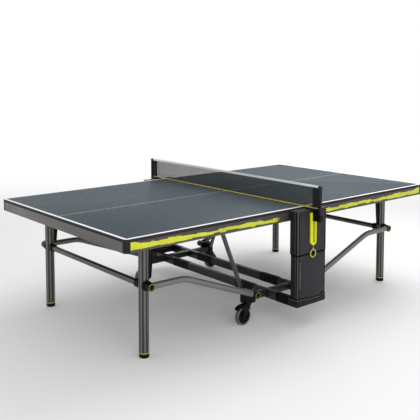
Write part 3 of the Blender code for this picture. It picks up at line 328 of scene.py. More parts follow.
@dataclass(frozen=True)
class BandedRail(Finish):
    """Coated rail with a printed band that tapers in ragged steps towards the net."""

    band_colour: Colour = (196, 200, 48)
    pale_colour: Colour = (212, 214, 62)
    under_colour: Colour = (84, 81, 76)
    start: float = 0.225
    end: float = 1.338
    top: float = 0.7175
    bottom: float = 0.6950
    print_depth: float = 0.0012

    def paint(self, graph: Graph) -> Wire:
        """The rail's coat with the band on its outer face."""
        x, y, z = graph.axes()
        along = abs(x)
        ragged = (graph.grain(150.0, 2.0, (1.0, 1.0, 2.0)) - 0.5) * 0.0060
        slow = (graph.cells(along * 11.0) - 0.5) * 0.0100
        quick = (graph.cells(along * 53.0 + 7.0) - 0.5) * 0.0050
        rise = along.ramp(0.80, 1.25, 0.0, 0.0105) + along.ramp(1.24, self.end, 0.0, 0.0135)
        upper = rise + slow + quick + ragged + self.top
        raised = (graph.cells(along * 6.5 + 2.0) > 0.72) * 0.0045
        lower = (graph.cells(along * 21.0 + 3.0) - 0.5) * 0.0070 + raised + self.bottom + ragged * 0.8
        begin = (graph.cells(z * 260.0) - 0.5) * 0.040 + self.start + ragged * 2.0
        outer = abs(y) > LAYOUT.half_width - self.print_depth
        worn = (graph.grain(120.0, 3.0) > 0.66).both(along.ramp(0.24, 0.50, 1.0, 0.0) > 0.35)
        band = z.within(lower, upper).both(along.within(begin, self.end)).both(outer).both(1 - worn)
        printed = graph.mix(graph.grain(9.0).ramp(0.3, 0.7), self.band_colour, self.pale_colour)
        coat = graph.mix((z < self.bottom).both(outer), Finish.paint(self, graph), self.under_colour)
        return graph.mix(band, coat, printed)


@dataclass(frozen=True)
class FlutedCoat(Finish):
    """Bronze-grey coat with painted shade that darkens the grooves of a leg tube."""

    # Painted shade: the colour that darkens the flutes' grooves.
    painted_shade_colour: Colour = (50, 48, 42)
    groove_depth: float = 0.0018

    def paint(self, graph: Graph) -> Wire:
        """Pale ridges and grooves darkened by painted shade, by the distance from the leg's middle."""
        x, y, _ = graph.axes()
        reach = (abs(x) - LAYOUT.leg_x).reach(abs(y) - LAYOUT.leg_y)
        ridge = reach.ramp(LAYOUT.leg_radius - self.groove_depth, LAYOUT.leg_radius - 0.0001)
        return graph.mix(ridge, self.painted_shade_colour, Finish.paint(self, graph))


@dataclass(frozen=True)
class TyreRubber(Finish):
    """Grey rubber with a painted highlight ring round a black inner wall."""

    ring: Flat = (0.0505, 0.0545)
    # Painted highlight: a pale ring on the tyre's wall.
    ring_highlight_colour: Colour = (122, 122, 126)
    wall_colour: Colour = (7, 7, 8)

    def paint(self, graph: Graph) -> Wire:
        """Black wall, painted highlight ring and grey rubber, by the distance from the axle."""
        x, _, z = graph.axes()
        reach = (abs(x) - LAYOUT.wheel_x).reach(z - LAYOUT.wheel_radius)
        rubber = graph.mix(reach > self.ring[1], self.ring_highlight_colour, Finish.paint(self, graph))
        return graph.mix(reach > self.ring[0], self.wall_colour, rubber)


@dataclass(frozen=True)
class FrontPanel(Finish):
    """Charcoal moulding with painted shade in the grooves beside the front panel, in lines along its seams and over its
    sides, and painted highlights on its front corners, pips, side strips and the base's lip.
    """

    edge: float = 0.1340
    # Painted shadow band over the cover's seam.
    seam: Flat = (0.4628, 0.4756)
    sunk_depth: float = 0.0006
    pip_height: float = 0.0004
    # Depth of the painted highlight strip on each side, and the span of the painted shadow line in it.
    side_highlight_depth: float = 0.024
    side_shade_line: Flat = (0.006, 0.017)
    # Spans of the painted highlight on the base's lip and of the painted shadow line at the base's seam.
    lip: Flat = (-0.0064, -0.0034)
    base_seam_shade: Flat = (-0.0034, 0.0055)
    tab_drop: float = 0.0087
    # Black of painted shade, for the grooves, the side lines and the seams.
    painted_shade_colour: Colour = (3, 3, 4)
    # Painted highlight on the rounded front corners.
    edge_band_and_highlight_colour: Colour = (74, 74, 77)
    # Painted highlight on the pips.
    pip_highlight_colour: Colour = (150, 150, 154)
    # Painted shade over the sides.
    side_shade_colour: Colour = (27, 27, 29)
    # Painted highlight on the side strip.
    side_highlight_colour: Colour = (60, 60, 63)
    base_colour: Colour = (26, 26, 28)
    # Painted highlight on the base's lip.
    lip_highlight_colour: Colour = (96, 96, 99)

    def paint(self, graph: Graph) -> Wire:
        """Charcoal panel with painted shade in its grooves, painted highlights on its corners and pips, painted shade
        on its sides, and painted shadow lines at the seams across both.
        """
        x, y, z = graph.axes()
        along, across, above = abs(x), abs(y), z > LAYOUT.beam_high
        # Painted highlight on the rounded corners beyond the grooves.
        panel = graph.mix((along > LAYOUT.groove[1]).both(above), Finish.paint(self, graph), self.edge_band_and_highlight_colour)
        inside = along.within(*LAYOUT.groove).both(above)
        sunk = inside.both(across < LAYOUT.cabinet_front - self.sunk_depth)
        # Painted shade in the grooves, which are cut into the moulding.
        groove_shaded = graph.mix(sunk, panel, self.painted_shade_colour)
        # Painted highlight on the pips that stand proud of the front.
        pips_highlighted = graph.mix(across > LAYOUT.cabinet_front + self.pip_height, groove_shaded, self.pip_highlight_colour)
        # Painted shade over the sides.
        shaded_flank = graph.mix(along > self.edge, pips_highlighted, self.shaded_flank(graph, LAYOUT.cabinet_front - across))
        return self.seams(graph, shaded_flank)

    def shaded_flank(self, graph: Graph, depth: Wire) -> Wire:
        """Side darkened by painted shade, with a painted highlight strip behind a painted shadow line at its front."""
        # Painted highlight on a strip of the side next to the front, with a painted shadow line in it.
        side_highlighted = graph.mix(depth < self.side_highlight_depth, self.side_shade_colour, self.side_highlight_colour)
        return graph.mix(depth.within(*self.side_shade_line), side_highlighted, self.painted_shade_colour)

    def seams(self, graph: Graph, colour: Wire) -> Wire:
        """Painted shadow lines at the cover's seam and round the base's edge and finger tab, with a painted highlight
        on the lip below.
        """
        x, y, z = graph.axes()
        tab = (x * (1.0 - (y > 0.0) * 2.0)).within(*LAYOUT.tab)
        rise = z - (LAYOUT.beam_high - LAYOUT.seam_width) + tab * self.tab_drop
        based = graph.mix(rise < 0.0, colour, self.base_colour)
        # Painted highlight on the base's lip, under its seam.
        lip_highlighted = graph.mix(rise.within(*self.lip), based, self.lip_highlight_colour)
        # Painted shadow lines along the seams.
        lines = rise.within(*self.base_seam_shade).either(z.within(*self.seam))
        return graph.mix(lines, lip_highlighted, self.painted_shade_colour)


@dataclass(frozen=True)
class Fabric(Finish):
    """Woven cloth with threads both ways."""

    pitch: float = 0.0011

    def relief(self, graph: Graph) -> Wire:
        """Threads over and under."""
        _, y, z = graph.axes()
        turn = 2 * math.pi / self.pitch
        return graph.bump((y * turn).maths("SINE") * (z * turn).maths("SINE"), self.depth)


class Paint(Enum):
    """The finishes of the table's pieces, each with its material slot."""

    SLATE = PlayingSurface("slate_surface", "playing_surface", (56, 68, 75), 0.50, variation=0.02, grain=1500.0,
                           depth=0.000006, specular=0.08)
    RAIL = BandedRail("banded_rail", "rail", (74, 71, 69), 0.44, 0.3, grain=1200.0, depth=0.00002, specular=0.3)
    END_RAIL = Finish("end_rail_coat", "end_rail", (98, 96, 93), 0.38, 0.45, 0.05, 1200.0, 0.00001,
                      stretch=(1.0, 0.15, 1.0))
    CORNER = Finish("corner_moulding", "corner", (15, 15, 16), 0.50, grain=1300.0, depth=0.00003, specular=0.25)
    LEG = Finish("leg_coat", "leg", (88, 87, 83), 0.27, 0.70, 0.04, 1200.0, 0.000002, stretch=(1.0, 1.0, 0.06))
    FLUTED = FlutedCoat("fluted_leg_coat", "leg", (108, 106, 101), 0.27, 0.60, 0.04, 1200.0, 0.000002,
                        stretch=(1.0, 1.0, 0.06))
    STAY = Finish("stay_coat", "tube", (116, 116, 113), 0.34, 0.50, 0.03, 1200.0, 0.000002)
    BEAM = Finish("beam_coat", "beam", (46, 43, 42), 0.36, 0.40, 0.08, 1200.0, 0.00001)
    SLEEVE = Finish("beam_sleeve", "black_plastic", (9, 9, 10), 0.50, variation=0.15, grain=1000.0, specular=0.12)
    PATCH = Finish("beam_patch", "beam", (62, 60, 58), 0.36, 0.45, 0.08, 1000.0, 0.00002)
    BLACK = Finish("black_moulding", "black_plastic", (6, 6, 7), 0.36, variation=0.15, grain=1100.0, depth=0.00002,
                   specular=0.14)
    CABINET = FrontPanel("cabinet_moulding", "cabinet", (45, 45, 48), 0.46, variation=0.05, grain=1100.0,
                         depth=0.00002, specular=0.14)
    # Black of painted shade, for sheets set in the cabinet's seams.
    SHADOW = Finish("cabinet_painted_shade", "cabinet", (4, 4, 5), 0.60, specular=0.05)
    STEEL = Finish("bright_steel", "steel", (170, 170, 168), 0.26, 1.0, 0.06, 1500.0, 0.00001)
    FERRULE = Finish("ferrule_metal", "steel", (186, 178, 158), 0.30, 0.9, 0.06, 1500.0, 0.00001)
    LIME = Finish("lime_moulding", "yellow", (228, 232, 18), 0.34, variation=0.03, grain=1200.0, depth=0.00002,
                  coat=0.1)
    LIME_SHADE = Finish("lime_groove", "yellow", (166, 164, 0), 0.50, variation=0.04, grain=1200.0, depth=0.00002,
                        specular=0.1)
    RING = Finish("lime_ring", "yellow", (180, 190, 74), 0.40, variation=0.05, grain=1200.0, depth=0.00002)
    NET = Fabric("net_thread", "net", (14, 17, 19), 0.80, depth=0.0001, specular=0.1, pitch=0.0009)
    HEM = Fabric("net_sleeve_cloth", "net", (24, 28, 31), 0.75, variation=0.08, depth=0.00022, specular=0.2,
                 pitch=0.0016)
    TAPE = Fabric("net_tape_cloth", "tape", (222, 225, 228), 0.72, variation=0.03, depth=0.00018, pitch=0.0014)
    CORD = Finish("tension_cord", "yellow", (196, 182, 30), 0.60, variation=0.35, grain=700.0, depth=0.0001,
                  stretch=(1.0, 4.0, 1.0))
    TYRE = TyreRubber("tyre_rubber", "tyre", (62, 62, 66), 0.62, variation=0.08, grain=800.0, depth=0.00005)
    TREAD = Finish("tread_rubber", "tyre", (84, 84, 88), 0.66, variation=0.06, grain=800.0, depth=0.00005)


def arc(centre: Flat, radius: float, start: float, end: float, steps: int) -> list[Flat]:
    """Points along an arc, with its angles in degrees."""
    angles = [math.radians(start + (end - start) * i / steps) for i in range(steps + 1)]
    return [(centre[0] + radius * math.cos(a), centre[1] + radius * math.sin(a)) for a in angles]


def rounded_outline(low: Flat, high: Flat, radius: float, steps: int = 5) -> list[Flat]:
    """A rectangle's outline with round corners, from its two opposite corners."""
    (left, bottom), (right, top) = (low[0] + radius, low[1] + radius), (high[0] - radius, high[1] - radius)
    outline = []
    for turn, centre in enumerate(((right, top), (left, top), (left, bottom), (right, bottom))):
        outline += arc(centre, radius, 90 * turn, 90 * turn + 90, steps)
    return outline


def spatial(axis: Axis, first: float, second: float, along: float) -> Vector:
    """A point from an outline's two coordinates and its place along the axis."""
    point = [first, second]
    point.insert(axis.value, along)
    return Vector(point)


class Solid:
    """One or more closed shapes that become a piece."""

    def __init__(self) -> None:
        """Start with nothing."""
        self.mesh = bmesh.new()

    def face(self, corners: Sequence[bmesh.types.BMVert]) -> bmesh.types.BMFace:
        """Add a face."""
        return self.mesh.faces.new(corners)

    def sides(self, first: Sequence[bmesh.types.BMVert], second: Sequence[bmesh.types.BMVert]
              ) -> list[bmesh.types.BMFace]:
        """Join two rows of points round a shape. A point may stand for a whole row."""
        made = []
        for i in range(len(first)):
            j = (i + 1) % len(first)
            corners = list(dict.fromkeys([first[i], first[j], second[j], second[i]]))
            if len(corners) > 2:
                made.append(self.face(corners))
        return made

    def prism(self, outline: Sequence[Flat], axis: Axis, span: Flat, ease: float = 0.0, steps: int = 2,
              keep: Keep | None = None) -> "Solid":
        """Add an outline pushed along an axis.

        Args:
            outline: points in the plane across the axis.
            axis: the direction of the push.
            span: where it starts and ends.
            ease: the radius of its rounded edges, or 0 for none.
            steps: faces in each rounding.
            keep: says from an edge's middle whether it is rounded. None rounds all.

        Returns:
            The solid itself.
        """
        lower, upper = ([self.mesh.verts.new(spatial(axis, a, b, level)) for a, b in outline] for level in sorted(span))
        faces = [self.face(lower), self.face(upper), *self.sides(lower, upper)]
        bmesh.ops.recalc_face_normals(self.mesh, faces=faces)
        if ease:
            chosen = {
                edge for face in faces for edge in face.edges
                if len(edge.link_faces) == 2 and edge.calc_face_angle(0.0) > EASED_ANGLE
                and (keep is None or keep((edge.verts[0].co + edge.verts[1].co) / 2))
            }
            bmesh.ops.bevel(self.mesh, geom=list(chosen), offset=ease, segments=steps, profile=0.5,
                            affect="EDGES", clamp_overlap=True)
        return self

    def block(self, x: Flat, y: Flat, z: Flat, ease: float = 0.0, steps: int = 2) -> "Solid":
        """Add a block between two values on each axis."""
        (x0, x1), (y0, y1) = sorted(x), sorted(y)
        return self.prism([(x0, y0), (x1, y0), (x1, y1), (x0, y1)], Axis.Z, z, ease, steps)

    def turned(self, centre: Point, axis: Axis, profile: Sequence[Flat], sides: int = 40,
               closed: bool = False, wave: Callable[[float], float] | None = None) -> "Solid":
        """Add a turned shape.

        Args:
            centre: the point that heights are counted from.
            axis: the axis it is turned about.
            profile: (radius, height) from one end to the other.
            sides: faces round it.
            closed: whether the profile is a ring's section.
            wave: what is added to the radius at an angle, for flutes and grips.

        Returns:
            The solid itself.
        """
        rows = []
        for radius, height in profile:
            if not radius:
                rows.append([self.mesh.verts.new(Vector(centre) + spatial(axis, 0.0, 0.0, height))] * sides)
                continue
            row = []
            for i in range(sides):
                angle = 2 * math.pi * i / sides
                reach = radius + (wave(angle) if wave else 0.0)
                point = spatial(axis, reach * math.cos(angle), reach * math.sin(angle), height)
                row.append(self.mesh.verts.new(Vector(centre) + point))
            rows.append(row)
        pairs = list(zip(rows, rows[1:])) + ([(rows[-1], rows[0])] if closed else [])
        faces = [face for pair in pairs for face in self.sides(*pair)]
        bmesh.ops.recalc_face_normals(self.mesh, faces=faces)
        return self

    def rod(self, axis: Axis, centre: Point, radius: float, span: Flat, ease: float = 0.0,
            sides: int = 32) -> "Solid":
        """Add a cylinder along an axis with eased ends."""
        low, high = sorted(span)
        eased = [(radius - ease, high), (radius, high - ease), (radius, low + ease), (radius - ease, low)]
        wall = eased if ease else [(radius, high), (radius, low)]
        return self.turned(centre, axis, [(0.0, high), *wall, (0.0, low)], sides)

    def swept(self, points: Sequence[Point], radius: float, sides: int = 28) -> "Solid":
        """Add a round bar along points, cut square at its ends."""
        route = [Vector(point) for point in points]
        side = (route[1] - route[0]).normalized().orthogonal()
        rows = []
        for place, point in enumerate(route):
            along = (route[min(place + 1, len(route) - 1)] - route[max(place - 1, 0)]).normalized()
            side = (side - along * side.dot(along)).normalized()
            other = along.cross(side)
            rows.append([
                self.mesh.verts.new(point + (side * math.cos(a) + other * math.sin(a)) * radius)
                for a in (2 * math.pi * i / sides for i in range(sides))
            ])
        faces = [self.face(rows[0]), self.face(rows[-1])]
        for first, second in zip(rows, rows[1:]):
            faces += self.sides(first, second)
        bmesh.ops.recalc_face_normals(self.mesh, faces=faces)
        return self

    def bolt(self, axis: Axis, centre: Point, sign: int, radius: float = 0.006, height: float = 0.003) -> "Solid":
        """Add a hexagon head on a washer that faces along an axis, to one side."""
        washer, wide = sign * 0.001, radius * 1.45
        self.turned(centre, axis, [(0.0, washer), (wide, washer), (wide, 0.0), (0.0, 0.0)], 24)
        top, chamfer = sign * height, sign * (height - 0.0006)
        head = [(0.0, top), (radius * 0.86, top), (radius, chamfer), (radius, washer), (0.0, washer)]
        return self.turned(centre, axis, head, 6)

    def piece(self, name: str, paint: Paint, body: str, nodes: Sequence[str] = (), signs: Signs = (1, 1),
              slot: str = "") -> bpy.types.Object:
        """Turn the solid into a piece that rides on a body.

        Args:
            name: the piece's name.
            paint: its finish.
            body: the body that it moves with.
            nodes: the model's nodes that it takes the place of.
            signs: the quarter of the table that it is turned to, by X and Y.
            slot: a material slot, where it isn't the finish's own; not used.

        Returns:
            The new object.
        """
        for vert in self.mesh.verts:
            vert.co = (vert.co.x * signs[0], vert.co.y * signs[1], vert.co.z)
        if signs[0] * signs[1] < 0:
            bmesh.ops.reverse_faces(self.mesh, faces=self.mesh.faces)
        data = bpy.data.meshes.new(name)
        self.mesh.to_mesh(data)
        self.mesh.free()
        data.materials.append(paint.value.material())
        data.shade_smooth()
        data.set_sharp_from_angle(angle=SHARP_ANGLE)
        made = bpy.data.objects.new(name, data)
        bpy.context.scene.collection.objects.link(made)
        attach(made, body)
        slot or paint.value.slot
        if nodes:
            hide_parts(*nodes)
        LOG.info("%s on %s, %d faces", name, body, len(data.polygons))
        return made


def carved(base: Solid, *cutters: Solid) -> Solid:
    """Cut closed shapes out of a solid, and give what is left."""
    holders = []
    for solid in (base, *cutters):
        data = bpy.data.meshes.new("carving")
        solid.mesh.to_mesh(data)
        solid.mesh.free()
        holder = bpy.data.objects.new("carving", data)
        bpy.context.scene.collection.objects.link(holder)
        holders.append(holder)
    for cutter in holders[1:]:
        step = holders[0].modifiers.new("cut", "BOOLEAN")
        step.operation = "DIFFERENCE"
        step.solver = "EXACT"
        step.object = cutter
    bpy.context.view_layer.update()
    data = bpy.data.meshes.new_from_object(holders[0].evaluated_get(bpy.context.evaluated_depsgraph_get()))
    left = Solid()
    left.mesh.from_mesh(data)
    for holder in holders:
        spare = holder.data
        bpy.data.objects.remove(holder, do_unlink=True)
        bpy.data.meshes.remove(spare)
    bpy.data.meshes.remove(data)
    return left


def carry(node: str, paint: Paint) -> None:
    """Give a node of the model a better finish."""
    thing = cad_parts[node]
    thing.data.materials.clear()
    thing.data.materials.append(paint.value.material())
    LOG.info("%s dressed", node)


def pivot_cap(pivot: Flat, start: float, face: float, radius: float, name: str, body: str, signs: Signs) -> None:
    """A round black cap with a thin lime ring on its face.

    Args:
        pivot: the X and Z of the pivot's axis.
        start: where the cap starts, counted from the table's middle.
        face: where its face is.
        radius: its radius.
        name: the piece's name.
        body: the body that it rides on.
        signs: the quarter of the table that it is turned to.
    """
    centre, dish, floor = (pivot[0], 0.0, pivot[1]), radius * 0.60, face - 0.0012
    profile = [(0.0, start), (radius, start), (radius, face - 0.0016), (radius - 0.0010, face),
               (dish + 0.001, face), (dish, floor), (0.0, floor)]
    solid = Solid().turned(centre, Axis.Y, profile, 48)
    solid.bolt(Axis.Y, (pivot[0], face - 0.0014, pivot[1]), 1, 0.0042, 0.0020)
    solid.piece(name, Paint.BLACK, body, (), signs)
    rim, inner, low, high = radius - 0.0032, radius - 0.0052, face - 0.001, face + 0.0003
    Solid().turned(centre, Axis.Y, [(inner, low), (inner, high), (rim, high), (rim, low)], 48, True).piece(
        name + "_ring", Paint.RING, body, (), signs)


@dataclass
class Top:
    """One half of the playing surface with its rails, beams and corner mouldings."""

    side: str
    corner: float = 0.030
    corner_radius: float = 0.020
    web: float = 0.0025
    flange: float = 0.022
    fold: float = 0.0009

    def build(self) -> None:
        """Make the board, the rails and the mouldings, and dress the beams."""
        side, body, s = self.side, self.side + "_top", SIDES[self.side]
        self.board().piece(side + "_playing_board", Paint.SLATE, body, [side + "_board"], (s, 1))
        for end, t in ENDS.items():
            span = (LAYOUT.inner_edge + LAYOUT.gap, LAYOUT.half_length - self.corner - LAYOUT.gap)
            rail = Solid().prism(self.channel(LAYOUT.half_width), Axis.X, span, self.fold)
            rail.piece(f"{side}_rail_{end}", Paint.RAIL, body, [f"{side}_side_rail_{end}"], (s, t))
            self.moulding().piece(f"{side}_corner_{end}", Paint.CORNER, body, (), (s, t))
        reach = LAYOUT.half_width - self.corner - 0.0004
        rail = Solid().prism(self.channel(LAYOUT.half_length), Axis.Y, (-reach, reach), self.fold)
        rail.piece(side + "_end_channel", Paint.END_RAIL, body, [side + "_end_rail"], (s, 1))
        for node, paint in (("_leg_beam", Paint.BEAM), ("_strut_beam", Paint.BEAM), ("_guide_shaft", Paint.STEEL)):
            carry(side + node, paint)

    def board(self) -> Solid:
        """The board, with round outer corners and eased edges."""
        reach, wide, radius = LAYOUT.half_length, LAYOUT.half_width, self.corner_radius
        outline = [(LAYOUT.inner_edge, -wide), *arc((reach - radius, radius - wide), radius, 270, 360, 8),
                   *arc((reach - radius, wide - radius), radius, 0, 90, 8), (LAYOUT.inner_edge, wide)]
        return Solid().prism(outline, Axis.Z, (LAYOUT.board_bottom, LAYOUT.surface), 0.0010)

    def channel(self, face: float) -> list[Flat]:
        """The section of a rail whose web stands at a distance from the middle."""
        top, low, web = LAYOUT.board_bottom - LAYOUT.gap, LAYOUT.apron_bottom, self.web
        inner = face - self.flange
        return [(face, top), (face, low), (inner, low), (inner, low + web), (face - web, low + web),
                (face - web, top - web), (inner, top - web), (inner, top)]

    def moulding(self) -> Solid:
        """A moulded corner between the side rail and the end rail."""
        reach, wide, radius = LAYOUT.half_length, LAYOUT.half_width, self.corner_radius
        outline = [(reach - self.corner, wide - self.corner), (reach, wide - self.corner),
                   *arc((reach - radius, wide - radius), radius, 0, 90, 10), (reach - self.corner, wide)]
        return Solid().prism(outline, Axis.Z, (LAYOUT.apron_bottom - 0.0006, LAYOUT.board_bottom - LAYOUT.gap),
                             0.0016, 3)


@dataclass
class Legs:
    """The two legs of one end with their crossbar, knuckles and feet."""

    side: str
    head_bottom: float = 0.655
    head_top: float = 0.700
    head_width: float = 0.054
    foot_height: float = 0.026
    ring_height: float = 0.004
    wall: float = 0.0025
    flutes: int = 8
    flute_depth: float = 0.0022
    ribs: int = 24
    rib_depth: float = 0.0007
    drum: float = 0.031
    drum_seat: float = 0.020
    collar_length: float = 0.036
    gusset_width: float = 0.036
    gusset_half: float = 0.002
    crossbar_radius: float = 0.0185

    def build(self) -> None:
        """Make both legs and what joins them."""
        side, body, s = self.side, self.side + "_legs", SIDES[self.side]
        reach = LAYOUT.leg_y - LAYOUT.leg_radius - 0.0006
        bar = Solid().rod(Axis.Y, (LAYOUT.leg_x, 0.0, LAYOUT.crossbar_z), self.crossbar_radius, (-reach, reach),
                          0.0005, 40)
        bar.piece(side + "_crossbar", Paint.LEG, body, [side + "_leg_crossbar"], (s, 1))
        for end, t in ENDS.items():
            self.tube().piece(f"{side}_leg_tube_{end}", Paint.FLUTED, body, [f"{side}_leg_{end}"], (s, t))
            for name, solid in (("leg_head", self.head()), ("knuckle", self.joint()), ("gusset", self.gusset())):
                solid.piece(f"{side}_{name}_{end}", Paint.BLACK, body, (), (s, t))
            foot, label = f"foot_body_{side}_{end}", f"{side}_{end}"
            self.pad().piece("foot_pad_" + label, Paint.BLACK, foot, ["foot_" + label], (s, t))
            self.ring().piece("foot_ring_" + label, Paint.RING, foot, (), (s, t))

    def turned(self, height: float, profile: Sequence[Flat], sides: int, closed: bool = False,
               wave: Callable[[float], float] | None = None) -> Solid:
        """A shape turned about the leg's own axis."""
        return Solid().turned((LAYOUT.leg_x, LAYOUT.leg_y, height), Axis.Z, profile, sides, closed, wave)

    def tube(self) -> Solid:
        """The fluted tube."""
        radius, low = LAYOUT.leg_radius, self.foot_height + self.ring_height + LAYOUT.gap
        inner, high = radius - self.wall, self.head_bottom + 0.001
        return self.turned(0.0, [(inner, low), (radius, low), (radius, high), (inner, high)], self.flutes * 14, True,
                           lambda angle: -self.flute_depth * (0.5 + 0.5 * math.cos(self.flutes * angle)) ** 1.5)

    def head(self) -> Solid:
        """The black head with the hinge's pin caps."""
        half, radius = self.head_width / 2, LAYOUT.leg_radius
        inner, rim = radius - 0.002, radius + 0.0022
        solid = self.turned(self.head_bottom, [(inner, -0.010), (radius + 0.0016, -0.010), (rim, -0.008),
                                               (rim, 0.004), (inner, 0.006)], 48, True)
        outline = rounded_outline((LAYOUT.leg_x - radius, self.head_bottom), (LAYOUT.leg_x + radius, self.head_top),
                                  0.009)
        return solid.prism(outline, Axis.Y, (LAYOUT.leg_y - half, LAYOUT.leg_y + half), 0.002)

    def joint(self) -> Solid:
        """The drum that the stay turns on and the collar for the crossbar."""
        drum, start = self.drum, LAYOUT.leg_y + self.drum_seat
        face = LAYOUT.stay_y - LAYOUT.stay_radius - 0.0005
        boss = [(0.0, face), (drum - 0.0030, face), (drum - 0.0008, face - 0.0008), (drum, face - 0.003),
                (drum, start + 0.0015), (drum - 0.0015, start), (0.0, start)]
        solid = Solid().turned((LAYOUT.stay_top[0], 0.0, LAYOUT.stay_top[1]), Axis.Y, boss, 56)
        wall = LAYOUT.leg_y - LAYOUT.leg_radius
        tip, seat = wall - self.collar_length, wall + 0.006
        bore, rim = self.crossbar_radius + 0.0004, 0.026
        collar = [(bore, tip), (rim - 0.003, tip), (rim - 0.001, tip + 0.001), (rim, tip + 0.003), (rim, tip + 0.012),
                  (rim - 0.0012, tip + 0.0135), (rim, tip + 0.015), (rim, seat), (bore, seat)]
        return solid.turned((LAYOUT.leg_x, 0.0, LAYOUT.crossbar_z), Axis.Y, collar, 40, True)

    def gusset(self) -> Solid:
        """The folded gusset down the leg's inner side."""
        low, high = LAYOUT.crossbar_z + 0.023, self.head_bottom + 0.006
        inner, half = LAYOUT.leg_x - LAYOUT.leg_radius, self.gusset_half
        edge, slope = inner - self.gusset_width, inner - self.gusset_width * 0.6
        outline = [(inner + 0.001, low), (inner + 0.001, high), (edge, high), (edge, high - 0.050),
                   (slope, low + 0.010), (inner - 0.006, low)]
        solid = Solid().prism(outline, Axis.Y, (LAYOUT.leg_y - half, LAYOUT.leg_y + half), 0.0006, 1)
        rim = [(edge, high), (edge, high - 0.050), (slope, low + 0.010), (slope + 0.005, low + 0.012),
               (edge + 0.006, high - 0.048), (edge + 0.006, high)]
        for across in (-0.0052, 0.0028):
            middle = LAYOUT.leg_y + across
            solid.prism(rim, Axis.Y, (middle, middle + 0.0024), 0.0006, 1)
        return solid

    def pad(self) -> Solid:
        """The levelling foot with fine finger ribs."""
        radius, top = LAYOUT.leg_radius, self.foot_height
        base = [(0.0, 0.0), (radius - 0.004, 0.0), (radius - 0.001, 0.0016), (radius - 0.0004, 0.004),
                (radius - 0.0002, top - 0.003), (radius - 0.0012, top), (0.0, top)]
        return self.turned(0.0, base, self.ribs * 6, False,
                           lambda angle: -self.rib_depth * (0.5 - 0.5 * math.cos(self.ribs * angle)))

    def ring(self) -> Solid:
        """The lime lock ring over the foot."""
        rim, low, high = LAYOUT.leg_radius + 0.0006, self.foot_height, self.foot_height + self.ring_height
        return self.turned(0.0, [(0.0, high), (rim - 0.0008, high), (rim, high - 0.001), (rim, low + 0.001),
                                 (rim - 0.0008, low), (0.0, low)], 48)


@dataclass
class Stays:
    """The bent stays and the straight struts of one half."""

    side: str
    bend_ease: float = 0.045
    bend_steps: int = 10
    end_reach: float = 0.011
    strut_end: float = 0.012
    sleeve: float = 0.048
    sleeve_wall: float = 0.0008
    cap_radius: float = 0.024
    cap_height: float = 0.005

    def build(self) -> None:
        """Make both stays, each with its sleeve and upper cap, and both struts."""
        side, body = self.side, self.side + "_stays"
        for end, t in ENDS.items():
            route = self.route(t)
            Solid().swept(route, LAYOUT.stay_radius, 36).piece(
                f"{side}_stay_tube_{end}", Paint.STAY, body, [f"{side}_stay_{end}"])
            before, tip = Vector(route[-2]), Vector(route[-1])
            heading = (before - tip).normalized()
            Solid().swept([tip - heading * 0.0006, tip + heading * self.sleeve],
                          LAYOUT.stay_radius + self.sleeve_wall, 36).piece(
                f"{side}_stay_sleeve_{end}", Paint.BLACK, body)
            inner, face = LAYOUT.stay_y - LAYOUT.stay_radius, LAYOUT.stay_y + LAYOUT.stay_radius
            pivot_cap(LAYOUT.stay_top, inner, face + self.cap_height, self.cap_radius, f"{side}_stay_cap_{end}",
                      body, (SIDES[side], t))
            Solid().swept(self.strut(t), LAYOUT.strut_radius, 32).piece(
                f"{side}_strut_tube_{end}", Paint.LEG, side + "_struts", [f"{side}_strut_{end}"])

    def route(self, t: int) -> list[Point]:
        """A stay's centre line with its bend eased."""
        top, bend, low = (Vector(point) for point in (LAYOUT.stay_top, LAYOUT.stay_bend, LAYOUT.stay_low))
        first, last = (top - bend).normalized(), (low - bend).normalized()
        start, finish = bend + first * self.bend_ease, bend + last * self.bend_ease
        shares = [i / self.bend_steps for i in range(self.bend_steps + 1)]
        eased = [start * (1 - share) ** 2 + bend * 2 * share * (1 - share) + finish * share ** 2 for share in shares]
        flat = [top + first * self.end_reach, *eased, low + last * self.end_reach]
        return [(SIDES[self.side] * point.x, t * LAYOUT.stay_y, point.y) for point in flat]

    def strut(self, t: int) -> list[Point]:
        """A strut's two ends, a little beyond its pivots."""
        top, low = Vector(LAYOUT.strut_top), Vector(LAYOUT.strut_low)
        heading = (top - low).normalized() * self.strut_end
        return [(SIDES[self.side] * point.x, t * LAYOUT.strut_y, point.y) for point in (low - heading, top + heading)]


